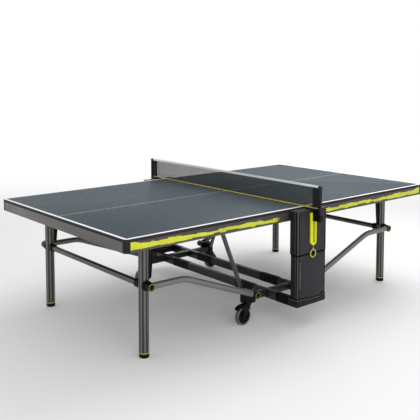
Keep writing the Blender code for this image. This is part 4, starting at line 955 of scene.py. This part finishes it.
@dataclass
class Undercarriage:
    """The wheeled frame: two beams across, a tube along each side and the castor housings."""

    beam_width: float = 0.040
    sleeves: tuple[Flat, Flat] = ((0.268, 0.443), (0.660, 0.772))
    patch: Flat = (0.600, 0.660)
    sleeve_wall: float = 0.0015
    patch_wall: float = 0.0006
    corner: float = 0.006
    tube_reach: float = 0.290
    tube_low: float = 0.146
    tube_high: float = 0.188
    housing_low: float = 0.140
    housing_high: float = 0.222
    housing_start: float = 0.289
    housing_end: float = 0.344
    housing_outer: float = 0.600
    cheek: float = 0.025
    cheek_length: float = 0.028
    cap_radius: float = 0.024
    cap_height: float = 0.0055
    body: str = "undercarriage"

    def build(self) -> None:
        """Make beams, tubes, housings and pivots."""
        for side, s in SIDES.items():
            reach = LAYOUT.cabinet_back - LAYOUT.gap
            Solid().prism(self.section(0.0, self.corner), Axis.Y, (-reach, reach)).piece(
                f"{side}_beam", Paint.BEAM, self.body, ["cross_beam_" + side], (s, 1))
            sheath = self.section(self.sleeve_wall, 0.007)
            self.wrapped(sheath, self.sleeves, 0.0007).piece(
                f"{side}_beam_sleeves", Paint.SLEEVE, self.body, (), (s, 1))
            self.wrapped(self.section(self.patch_wall, 0.0066), [self.patch], 0.0).piece(
                f"{side}_beam_patches", Paint.PATCH, self.body, (), (s, 1))
        for end, t in ENDS.items():
            self.tube().piece(f"{end}_tube", Paint.BEAM, self.body, ["end_tube_" + end], (1, t))
            for side, s in SIDES.items():
                self.housing().piece(f"{side}_housing_{end}", Paint.BLACK, self.body, (), (s, t))
                face = LAYOUT.stay_y + LAYOUT.stay_radius + self.cap_height
                pivot_cap(LAYOUT.stay_low, self.housing_outer + 0.004, face, self.cap_radius,
                          f"{side}_pivot_cap_{end}", self.body, (s, t))

    def section(self, wall: float, corner: float) -> list[Flat]:
        """The outline round a beam at a wall's distance."""
        inner = LAYOUT.beam_outer - self.beam_width
        return rounded_outline((inner - wall, LAYOUT.beam_low - wall),
                               (LAYOUT.beam_outer + wall, LAYOUT.beam_high + wall), corner)

    def wrapped(self, outline: Sequence[Flat], spans: Sequence[Flat], ease: float) -> Solid:
        """Sleeves round a beam, at the same places on both sides."""
        solid = Solid()
        for t in ENDS.values():
            for start, finish in spans:
                solid.prism(outline, Axis.Y, (t * start, t * finish), ease, 1)
        return solid

    def tube(self) -> Solid:
        """The tube along one side."""
        outline = rounded_outline((LAYOUT.tube_y - LAYOUT.tube_half, self.tube_low),
                                  (LAYOUT.tube_y + LAYOUT.tube_half, self.tube_high), 0.005)
        solid = Solid().prism(outline, Axis.X, (-self.tube_reach, self.tube_reach))
        for s in SIDES.values():
            at = (s * (LAYOUT.beam_outer + 0.012), LAYOUT.tube_y, self.tube_high)
            solid.bolt(Axis.Z, at, 1, 0.005, 0.003)
        return solid

    def housing(self) -> Solid:
        """The moulded block that takes a castor and carries two pivots."""
        inner, outer = LAYOUT.tube_y - LAYOUT.tube_half, self.housing_outer
        cheek, start = outer - self.cheek - 0.001, self.tube_reach - self.cheek_length
        outline = [(start, cheek), (self.housing_start, cheek), (self.housing_start, inner),
                   (self.housing_end, inner), (self.housing_end, outer), (start, outer)]
        solid = Solid().prism(outline, Axis.Z, (self.housing_low, self.housing_high), 0.0035, 3)
        cap = [(0.0, 0.0022), (0.011, 0.0022), (0.0125, 0.0), (0.0, 0.0)]
        solid.turned((LAYOUT.stem_x, LAYOUT.stem_y, self.housing_high), Axis.Z, cap, 32)
        boss, seat = LAYOUT.strut_y + LAYOUT.strut_radius + 0.0005, inner + 0.004
        pin = [(0.0, seat), (0.013, seat), (0.013, inner - 0.003), (0.008, inner - 0.004), (0.008, boss), (0.0, boss)]
        solid.turned((LAYOUT.strut_low[0], 0.0, LAYOUT.strut_low[1]), Axis.Y, pin, 32)
        return solid.rod(Axis.Y, (LAYOUT.stay_low[0], 0.0, LAYOUT.stay_low[1]), 0.021,
                         (outer - 0.004, outer + 0.0055), 0.0010)


@dataclass
class Castor:
    """A castor that swivels and rolls, with a brake on the near side."""

    side: str
    end: str
    width: float = 0.026
    tyre: float = 0.015
    crown: float = 0.028
    crown_high: float = 0.1395
    crown_low: float = 0.1255
    stem: float = 0.0105
    stem_high: float = 0.1995
    inside: float = 0.015
    outside: float = 0.019
    hood: Flat = (0.0665, 0.0625)
    brake_x: float = LAYOUT.stem_x + 0.046
    brake_z: float = 0.128
    paddle_half: float = 0.017
    spokes: int = 5
    spoke_turn: float = 0.4

    def build(self) -> None:
        """Make fork, wheel and, on the near side, brake."""
        label, signs = f"{self.side}_{self.end}", (SIDES[self.side], ENDS[self.end])
        self.fork().piece("fork_" + label, Paint.BLACK, "castor_" + label, ["castor_fork_" + label], signs)
        wheel = "wheel_" + label
        self.rubber().piece("tyre_" + label, Paint.TYRE, wheel, ["castor_wheel_" + label], signs)
        self.tread().piece("tread_" + label, Paint.TREAD, wheel, (), signs)
        self.hub(signs[0]).piece("hub_" + label, Paint.BLACK, wheel, (), signs)
        if self.end == "near":
            self.brake().piece("brake_lever_" + label, Paint.BLACK, "brake_" + label, ["castor_brake_" + label], signs)

    def fork(self) -> Solid:
        """The hooded fork with its crown, stem and axle nuts."""
        across, high, low, crown = LAYOUT.stem_y, self.crown_high, self.crown_low, self.crown
        centre = (LAYOUT.stem_x, across, 0.0)
        solid = Solid().turned(centre, Axis.Z, [
            (0.0, high), (crown - 0.002, high), (crown, high - 0.002), (crown, low + 0.004), (crown - 0.003, low),
            (0.0, low)], 48)
        solid.rod(Axis.Z, centre, self.stem, (low + 0.002, self.stem_high), 0.001)
        axle, back = (LAYOUT.wheel_x, LAYOUT.wheel_radius), LAYOUT.stem_x - 0.0225
        cheek = [(back, low + 0.004), *arc(axle, 0.014, 198, 342, 8),
                 *arc((self.brake_x, self.brake_z), 0.0075, 0, 100, 5), (back, high - 0.003)]
        for side in (-1, 1):
            solid.prism(cheek, Axis.Y, (across + side * self.inside, across + side * self.outside), 0.0009)
            solid.bolt(Axis.Y, (axle[0], across + side * self.outside, axle[1]), side, 0.006, 0.0035)
        hood = [*arc(axle, self.hood[0], 62, 146, 10), *reversed(arc(axle, self.hood[1], 62, 146, 10))]
        return solid.prism(hood, Axis.Y, (across - self.outside, across + self.outside), 0.0009)

    def ring(self, profile: Sequence[Flat], sides: int) -> Solid:
        """A ring about the axle, from half of its section."""
        section = [*profile, *((radius, -along) for radius, along in reversed(profile))]
        return Solid().turned((LAYOUT.wheel_x, LAYOUT.stem_y, LAYOUT.wheel_radius), Axis.Y, section, sides, True)

    def rubber(self) -> Solid:
        """The tyre."""
        radius, half, rim = LAYOUT.wheel_radius, self.width / 2, LAYOUT.wheel_radius - self.tyre
        return self.ring([(rim, half - 0.001), (rim + 0.001, half), (radius - 0.005, half - 0.0004),
                          (radius - 0.0016, half - 0.0022), (radius - 0.0004, half - 0.004)], 72)

    def tread(self) -> Solid:
        """The tyre's pale tread."""
        radius, half = LAYOUT.wheel_radius, self.width / 2 - 0.004
        return self.ring([(radius - 0.0008, half), (radius, half - 0.001)], 72)

    def hub(self, s: int) -> Solid:
        """The hub with its spokes, which stand at the same angles on both sides of the table."""
        half, rim = self.width / 2, LAYOUT.wheel_radius - self.tyre
        web = half - 0.0065
        solid = self.ring([(0.0055, half - 0.001), (0.014, half - 0.001), (0.0165, half - 0.004), (0.0175, web),
                           (rim - 0.006, web), (rim - 0.005, half - 0.002), (rim, half - 0.001)], 48)
        tip = rim - 0.004
        for number in range(self.spokes):
            angle = 2 * math.pi * number / self.spokes + self.spoke_turn
            along, up = s * math.cos(angle), math.sin(angle)
            outline = [
                (LAYOUT.wheel_x + along * far - s * up * off, LAYOUT.wheel_radius + up * far + s * along * off)
                for far, off in ((0.013, -0.005), (tip, -0.0032), (tip, 0.0032), (0.013, 0.005))
            ]
            for side in (-1, 1):
                span = (LAYOUT.stem_y + side * (web - 0.001), LAYOUT.stem_y + side * (half - 0.003))
                solid.prism(outline, Axis.Y, span, 0.0008, 1)
        return solid

    def brake(self) -> Solid:
        """The brake lever with its ribbed paddle."""
        pivot, up, half = self.brake_x, self.brake_z, self.inside - 0.0005
        tip, start = pivot + 0.047, pivot + 0.020
        pad = [(tip, 0.1065), (tip, 0.1165), (start, 0.1345)]
        lever = [*arc((pivot, up), 0.0065, 90, 270, 8), (pivot + 0.022, 0.1165), *pad]
        solid = Solid().prism(lever, Axis.Y, (LAYOUT.stem_y - half, LAYOUT.stem_y + half), 0.0012)
        span = (LAYOUT.stem_y - self.paddle_half, LAYOUT.stem_y + self.paddle_half)
        return solid.prism([(start, 0.1175), *pad], Axis.Y, span, 0.0018, 3)


@dataclass
class Cabinet:
    """A side cabinet: base, guide plate, upper cover, ball store and its door. X is drawn as on the near cabinet."""

    end: str
    half: float = 0.139
    seam: float = 0.467
    top: float = 0.753
    wall: float = 0.004
    corner: float = 0.012
    inset: float = 0.004
    lip: float = 0.0065
    lip_inset: float = 0.0026
    groove_depth: float = 0.0034
    plate_half: float = 0.125
    plate_back: float = 0.782
    slot_high: Flat = (0.025, 0.728)
    slot_low: Flat = (0.097, 0.227)
    slot_radius: float = 0.0121
    store_rear: float = 0.7865
    store_half: float = 0.120
    store_top: float = 0.4385
    store_floor: float = 0.008
    door: float = 0.004
    gap: float = 0.0005
    tab_drop: float = 0.0095
    pips: int = 16
    pip_low: float = 0.262
    pip_pitch: float = 0.0105
    pip_x: float = -0.1135
    hinge_x: float = -0.1158
    sharp_back: float = 0.002
    clear: float = 0.01

    def build(self) -> None:
        """Make all of the cabinet's parts."""
        self.base()
        self.guide_plate()
        self.cover()
        self.store()
        self.front_door()

    def show(self, solid: Solid, part: str, paint: Paint, node: str = "", body: str = "undercarriage",
             slot: str = "") -> None:
        """Turn a solid to the cabinet's own side and make it a piece."""
        t = ENDS[self.end]
        solid.piece(f"{self.end}_{part}", paint, body, [f"{node}_{self.end}"] if node else (), (-t, t), slot)

    def slab(self, half: float, depth: Flat, corner: float, span: Flat, ease: float = 0.0) -> Solid:
        """A block with the cabinet's outline from above: two round corners at its front.

        Args:
            half: half of its width.
            depth: where its back and its front are.
            corner: the radius of its front corners.
            span: its lowest and highest level.
            ease: the radius of its rounded edges, or 0 for none. Its back keeps its edges.

        Returns:
            The block.
        """
        back, front = depth
        points = [(-half, back), (half, back), *arc((half - corner, front - corner), corner, 0, 90, 8),
                  *arc((corner - half, front - corner), corner, 90, 180, 8)]
        return Solid().prism(points, Axis.Z, span, ease, 3, lambda m: m.y > back + self.sharp_back)

    def grooves(self, low: float, high: float) -> list[Solid]:
        """Cutters of the upright grooves beside the front panel."""
        front, (inner, outer) = LAYOUT.cabinet_front, LAYOUT.groove
        return [Solid().block((s * inner, s * outer), (front - self.groove_depth, front + self.clear), (low, high))
                for s in SIDES.values()]

    def base(self) -> None:
        """The base that joins both beams, with a notch for the door's tab, and a black sheet of painted shade in the
        seam at its top.
        """
        front, back, high, seam = LAYOUT.cabinet_front, LAYOUT.cabinet_back, LAYOUT.beam_high, LAYOUT.seam_width
        block = self.slab(self.half, (back, front), self.corner, (LAYOUT.beam_low, high - seam), 0.0014)
        bottom = high + self.gap + LAYOUT.gap - self.tab_drop - seam
        notch = Solid().block((LAYOUT.tab[0] - seam, LAYOUT.tab[1] + seam),
                              (front - self.door - self.gap, front + self.clear), (bottom, high + self.clear))
        self.show(carved(block, notch), "base", Paint.CABINET, "cabinet_base")
        # A black sheet of painted shade that fills the seam between the base and the store.
        seam_shade_sheet = self.slab(self.half - 0.0045, (back + 0.002, front - 0.0052), self.corner - 0.002,
                           (high - 0.004, high + 0.0001))
        self.show(seam_shade_sheet, "seam", Paint.SHADOW)

    def guide_plate(self) -> None:
        """The plate behind the cabinet with a slanting slot for each half's roller."""
        plate = Solid().block((-self.plate_half, self.plate_half), (LAYOUT.cabinet_back, self.plate_back),
                              (LAYOUT.beam_high - 0.001, self.top - 0.001), 0.0008, 1)
        high, low, radius = self.slot_high, self.slot_low, self.slot_radius
        heading = math.degrees(math.atan2(high[1] - low[1], high[0] - low[0]))
        slot = [*arc(high, radius, heading - 90, heading + 90, 10), *arc(low, radius, heading + 90, heading + 270, 10)]
        span = (LAYOUT.cabinet_back - self.clear, self.plate_back + self.clear)
        slots = [Solid().prism([(s * x, z) for x, z in slot], Axis.Y, span) for s in SIDES.values()]
        self.show(carved(plate, *slots), "guide_plate", Paint.BLACK, slot="cabinet")

    def cover(self) -> None:
        """The upper cover, open behind and below, with a groove down each side of its front, and a black band of
        painted shade in the seam under it.
        """
        front, wall, edge = LAYOUT.cabinet_front, self.wall, self.lip_inset
        shell = self.slab(self.half, (self.plate_back + LAYOUT.gap, front), self.corner,
                          (self.seam + self.lip, self.top), 0.0022)
        hollow = self.slab(self.half - wall, (LAYOUT.cabinet_back - self.clear, front - wall), self.corner - wall,
                           (self.seam - self.clear, self.top - wall))
        grooves = self.grooves(self.seam - self.clear, self.top - 0.014)
        self.show(carved(shell, hollow, *grooves), "cover", Paint.CABINET, "cabinet_upper")
        # A black band of painted shade under the cover, in its seam.
        band = self.slab(self.half - edge, (self.plate_back + 0.004, front - edge), self.corner - edge,
                         (self.seam + 0.0001, self.seam + 0.012))
        inside = self.slab(self.half - 0.010, (0.77, front - 0.010), 0.004, (self.seam - 0.02, self.seam + 0.02))
        self.show(carved(band, inside), "cover_lip_shade", Paint.SHADOW)

    def store(self) -> None:
        """The ball store, open at the front behind its door."""
        front, floor = LAYOUT.cabinet_front, LAYOUT.beam_high + LAYOUT.gap
        shell = self.slab(self.half - self.inset, (self.store_rear, front), self.corner,
                          (floor, self.seam - LAYOUT.gap), 0.0018)
        wide, back = (-self.store_half, self.store_half), front - self.door - self.gap
        hollow = Solid().block(wide, (self.store_rear + 0.003, back + 0.001),
                               (floor + self.store_floor, self.store_top - 0.003))
        recess = Solid().block(wide, (back, front + self.clear), (floor - self.clear, self.store_top))
        grooves = self.grooves(floor - self.clear, self.seam + self.clear)
        self.show(carved(shell, hollow, recess, *grooves), "store", Paint.CABINET, "cabinet_lower")

    def front_door(self) -> None:
        """The store's door, with a finger tab below and a row of grip pips up its edge."""
        front, half, (left, right) = LAYOUT.cabinet_front, self.store_half - 0.001, LAYOUT.tab
        low, top = LAYOUT.beam_high + self.gap + LAYOUT.gap, self.store_top - self.gap
        tab = low - self.tab_drop
        outline = [(-half, low), (left, low), (left + 0.001, tab), (right - 0.001, tab), (right, low), (half, low),
                   (half, top), (-half, top)]
        solid = Solid().prism(outline, Axis.Y, (front - self.door, front), 0.0010, 2, lambda m: m.y > front - 0.001)
        pip = [(0.0, 0.0016), (0.0018, 0.0015), (0.0032, 0.0), (0.0, -0.0005)]
        for number in range(self.pips):
            solid.turned((self.pip_x, front, self.pip_low + number * self.pip_pitch), Axis.Y, pip, 12)
        solid.rod(Axis.Z, (self.hinge_x, front - 0.002, 0.0), 0.0013, (top - 0.006, self.store_top + 0.003))
        self.show(solid, "door", Paint.CABINET, "store_door", "door_" + self.end)


@dataclass
class Handle:
    """The lime release handle on the near cabinet with its pull ring."""

    width: float = 0.050
    top: float = 0.735
    bottom: float = 0.524
    thickness: float = 0.014
    groove: float = 0.029
    groove_depth: float = 0.0018
    ring: float = 0.470
    ring_radius: float = 0.0245
    wire: float = 0.0035
    stem: float = 0.0018
    signs: Signs = (1, -1)

    def build(self) -> None:
        """Make the handle, its groove and the ring on its stem."""
        half, slim, back = self.width / 2, self.groove / 2, LAYOUT.cabinet_front + LAYOUT.gap
        face, low = back + self.thickness, (0.0, self.bottom + half)
        outline = [(-half, self.top), *arc(low, half, 180, 360, 20), (half, self.top)]
        channel = [(-slim, self.top - 0.012), *arc(low, slim, 180, 360, 14), (slim, self.top - 0.012)]
        body = Solid().prism(outline, Axis.Y, (back, face), 0.0028, 4, lambda m: m.y > back + 0.002)
        carved(body, Solid().prism(channel, Axis.Y, (face - self.groove_depth, face + 0.01))).piece(
            "handle_grip", Paint.LIME, "undercarriage", ["release_handle"], self.signs)
        Solid().prism([(x * 0.985, z) for x, z in channel], Axis.Y, (face - 0.0036, face - 0.0014)).piece(
            "handle_groove", Paint.LIME_SHADE, "undercarriage", (), self.signs)
        middle, crown = back + self.thickness / 2, self.ring + self.ring_radius
        section = [(self.ring_radius + across, along) for across, along in arc((0.0, 0.0), self.wire, 0, 360, 16)[:-1]]
        solid = Solid().turned((0.0, middle, self.ring), Axis.Y, section, 64, True)
        solid.rod(Axis.Z, (0.0, middle, 0.0), self.stem, (crown, self.bottom + 0.033), 0.0, 20)
        solid.turned((0.0, middle, crown + 0.004), Axis.Z,
                     [(0.0, 0.006), (0.0024, 0.006), (0.0036, 0.0), (0.0036, -0.004), (0.0, -0.004)], 24)
        solid.piece("pull_hoop", Paint.RING, "pull", ["pull_ring"], self.signs)


@dataclass
class Net:
    """The net with its tape, sleeves, tension cord and posts."""

    top: float = 0.9125
    low: float = 0.7660
    end: float = 0.8967
    tape: float = 0.015
    tape_thickness: float = 0.0036
    sleeve: float = 0.050
    sleeve_half: float = 0.003
    pitch: float = 0.0078
    strand: float = 0.00175
    cord_radius: float = 0.0035
    cord_end: float = 0.036
    post_side: float = 0.907
    post_width: float = 0.020
    socket_low: float = 0.683
    socket_height: float = 0.042
    socket_wall: float = 0.006
    arm_back: float = 0.052
    arm_front: float = 0.014
    arm_low: float = 0.7533
    arm_height: float = 0.008
    arm_bolts: Flat = (0.806, 0.832)
    body: str = "undercarriage"

    def build(self) -> None:
        for end, t in ENDS.items():
            self.post().piece(f"{end}_post", Paint.CORNER, self.body, ["net_post_" + end], (1, t))
            self.socket().piece(f"{end}_post_socket", Paint.BLACK, self.body, (), (1, t))
        cloth = self.mesh().piece("net_strands", Paint.NET, self.body, ["net_mesh"])
        tape = self.head_tape().piece("net_head_tape", Paint.TAPE, self.body, ["net_tape"])
        sleeves = self.sleeves().piece("net_sleeves", Paint.HEM, self.body)
        reach = self.end - self.cord_end
        line = Solid().rod(Axis.Y, (0.0, 0.0, self.low), self.cord_radius, (-reach - 0.004, reach + 0.004), 0.0, 16)
        cord = line.piece("net_tension_cord", Paint.CORD, self.body)
        self.ferrules(reach).piece("net_cord_ends", Paint.FERRULE, self.body)
        size = (2 * (self.end - self.sleeve), self.top - self.tape - self.low)
        strands = 4 * self.strand / self.pitch
        strands * size[0] * size[1]

    def mesh(self) -> Solid:
        """The mesh of crossing strands."""
        reach, high = self.end - self.sleeve + 0.002, self.top - self.tape + 0.002
        columns, rows = round(2 * reach / self.pitch), round((high - self.low) / self.pitch)
        solid, radius = Solid(), self.strand
        square = [(radius, 0.0), (0.0, radius), (-radius, 0.0), (0.0, -radius)]
        for i in range(columns + 1):
            y = -reach + 2 * reach * i / columns
            solid.prism([(a, y + b) for a, b in square], Axis.Z, (self.low, high))
        for j in range(1, rows):
            z = self.low + (high - self.low) * j / rows
            solid.prism([(a, z + b) for a, b in square], Axis.Y, (-reach, reach))
        return solid

    def head_tape(self) -> Solid:
        """The white tape folded over the top cord."""
        half = self.tape_thickness / 2
        outline = rounded_outline((-half, self.top - self.tape), (half, self.top), 0.0016, 4)
        return Solid().prism(outline, Axis.Y, (-self.end, self.end), 0.0004, 1)

    def sleeves(self) -> Solid:
        """The dark cloth sleeve at each end."""
        solid, half = Solid(), self.sleeve_half
        outline = rounded_outline((-half, self.low - 0.001), (half, self.top - self.tape), 0.0024, 4)
        for t in ENDS.values():
            solid.prism(outline, Axis.Y, (t * (self.end - self.sleeve), t * (self.end - 0.001)), 0.0008)
        return solid

    def ferrules(self, reach: float) -> Solid:
        """The metal end of the cord at each post, from a distance from the middle."""
        solid, rim, end = Solid(), 0.0040, self.end
        profile = [(0.0, reach), (0.0036, reach), (rim, reach + 0.002), (rim, end - 0.002), (0.0026, end), (0.0, end)]
        for t in ENDS.values():
            solid.turned((0.0, 0.0, self.low), Axis.Y, [(radius, t * along) for radius, along in profile], 24)
        return solid

    def post(self) -> Solid:
        """A post."""
        half = self.post_width / 2
        outline = rounded_outline((-half, self.post_side - half), (half, self.post_side + half), 0.004, 4)
        return Solid().prism(outline, Axis.Z, (self.socket_low + 0.001, self.top), 0.0018, 3)

    def socket(self) -> Solid:
        """The post's socket, on an arm on the cabinet's top."""
        reach = self.post_width / 2 + self.socket_wall
        inner, low = self.post_side - reach, self.socket_low
        solid = Solid().block((-reach, reach), (inner, self.post_side + reach), (low, low + self.socket_height),
                              0.0024, 3)
        seat, high = self.arm_low, self.arm_low + self.arm_height
        back, front = LAYOUT.cabinet_front - self.arm_back, LAYOUT.cabinet_front + 2 * LAYOUT.gap + self.arm_front
        arm = [(back, seat), (front, seat), (front, low + 0.001), (inner + 0.001, low + 0.001), (inner + 0.001, high),
               (back, high)]
        solid.prism(arm, Axis.X, (-reach, reach), 0.0012)
        for across in self.arm_bolts:
            solid.bolt(Axis.Z, (0.0, across, high), 1, 0.0042, 0.0022)
        return solid


@dataclass
class Studio:
    """Floor, backdrop, lamps and camera."""

    eye: Point = (-3.318, -3.733, 1.637)
    yaw: float = 0.866
    pitch: float = -4.57
    focal: float = 687.9
    image: int = 420
    film: float = 36.0
    rise: float = 0.2
    daylight: float = 0.80
    floor_reach: float = 14.0
    floor_glow: float = 0.16
    target: Point = (0.0, 0.0, 0.4)

    def build(self) -> None:
        """Set the scene round the table."""
        self.camera()
        self.world()
        self.floor()
        self.lamps()
        bpy.context.scene.view_settings.view_transform = "Standard"

    def aimed(self, data: bpy.types.Camera | bpy.types.Light, place: Point, heading: Vector) -> bpy.types.Object:
        """Show a camera or lamp that looks along a heading."""
        made = bpy.data.objects.new(data.name, data)
        made.location = place
        made.rotation_euler = heading.to_track_quat("-Z", "Y").to_euler()
        bpy.context.scene.collection.objects.link(made)
        return made

    def camera(self) -> None:
        """The photograph's viewpoint."""
        data = bpy.data.cameras.new("camera")
        data.sensor_width = self.film
        data.lens = self.focal / self.image * self.film
        data.shift_y = -self.rise
        data.clip_end = 60.0
        pitch = math.radians(self.pitch)
        heading = Vector((math.cos(self.yaw) * math.cos(pitch), math.sin(self.yaw) * math.cos(pitch), math.sin(pitch)))
        bpy.context.scene.camera = self.aimed(data, self.eye, heading)

    def world(self) -> None:
        """Even pale light, with a white backdrop where the camera, glass or metal sees it."""
        graph = Graph(bpy.data.worlds.new("studio"))
        graph.tree.nodes.clear()
        rays = graph.node("ShaderNodeLightPath", {}, {}).socket.node.outputs
        camera, glossy, through = (Wire(graph, rays[f"Is {kind} Ray"]) for kind in ("Camera", "Glossy", "Transmission"))
        light, white = (graph.node("ShaderNodeBackground", {}, {"Color": WHITE, "Strength": strength})
                        for strength in (self.daylight, 1.0))
        mixed = graph.node("ShaderNodeMixShader", {}, {0: camera.either(glossy).either(through), 1: light, 2: white})
        graph.plug(graph.tree.nodes.new("ShaderNodeOutputWorld").inputs["Surface"], mixed)
        bpy.context.scene.world = graph.owner

    def floor(self) -> None:
        """A wide pale floor that fades to white far behind the table, with painted light: a glow that lifts its shadows
        and a tone a little lighter towards the camera.
        """
        data, reach = bpy.data.meshes.new("floor"), self.floor_reach
        data.from_pydata([(-reach, -reach, 0.0), (reach, -reach, 0.0), (reach, reach, 0.0), (-reach, reach, 0.0)], [],
                         [(0, 1, 2, 3)])
        made = bpy.data.objects.new("floor", data)
        bpy.context.scene.collection.objects.link(made)
        graph = Graph(bpy.data.materials.new("studio_floor"))
        x, y, _ = graph.axes()
        depth = x * math.cos(self.yaw) + y * math.sin(self.yaw)
        # Painted light: the floor is a little lighter towards the camera.
        grey = graph.mix(depth.ramp(-2.6, 2.2), (237, 237, 237), (232, 232, 232))
        lit = graph.feed(Base_Color=grey, Roughness=0.75)
        fade = depth.ramp(1.0, 5.5).either(x.reach(y).ramp(3.0, 7.0))
        glow = graph.node("ShaderNodeEmission", {}, {0: graph.mix(fade, grey, WHITE)})
        # Painted light: the glow lifts the floor's shadows.
        share = fade * (1.0 - self.floor_glow) + self.floor_glow
        mixed = graph.node("ShaderNodeMixShader", {}, {0: share, 1: lit, 2: glow})
        graph.plug(graph.tree.nodes["Material Output"].inputs["Surface"], mixed)
        data.materials.append(graph.owner)

    def lamps(self) -> None:
        """A broad soft key above and a fill from the camera's side."""
        for name, place, size, power in (
            ("key", (2.3, 0.4, 3.4), 2.8, 92.0),
            ("fill", (-2.2, -5.0, 2.0), 2.6, 60.0),
        ):
            data = bpy.data.lights.new(name, "AREA")
            data.size = size
            data.energy = power
            self.aimed(data, place, Vector(self.target) - Vector(place))


def main() -> None:
    """Build the studio and every sub-assembly."""
    logging.basicConfig(level=logging.INFO, format="%(message)s")
    Studio().build()
    for side in SIDES:
        Top(side).build()
        Legs(side).build()
        Stays(side).build()
        for end in ENDS:
            Castor(side, end).build()
    Undercarriage().build()
    for end in ENDS:
        Cabinet(end).build()
    Handle().build()
    Net().build()


if __name__ == "__main__":
    main()
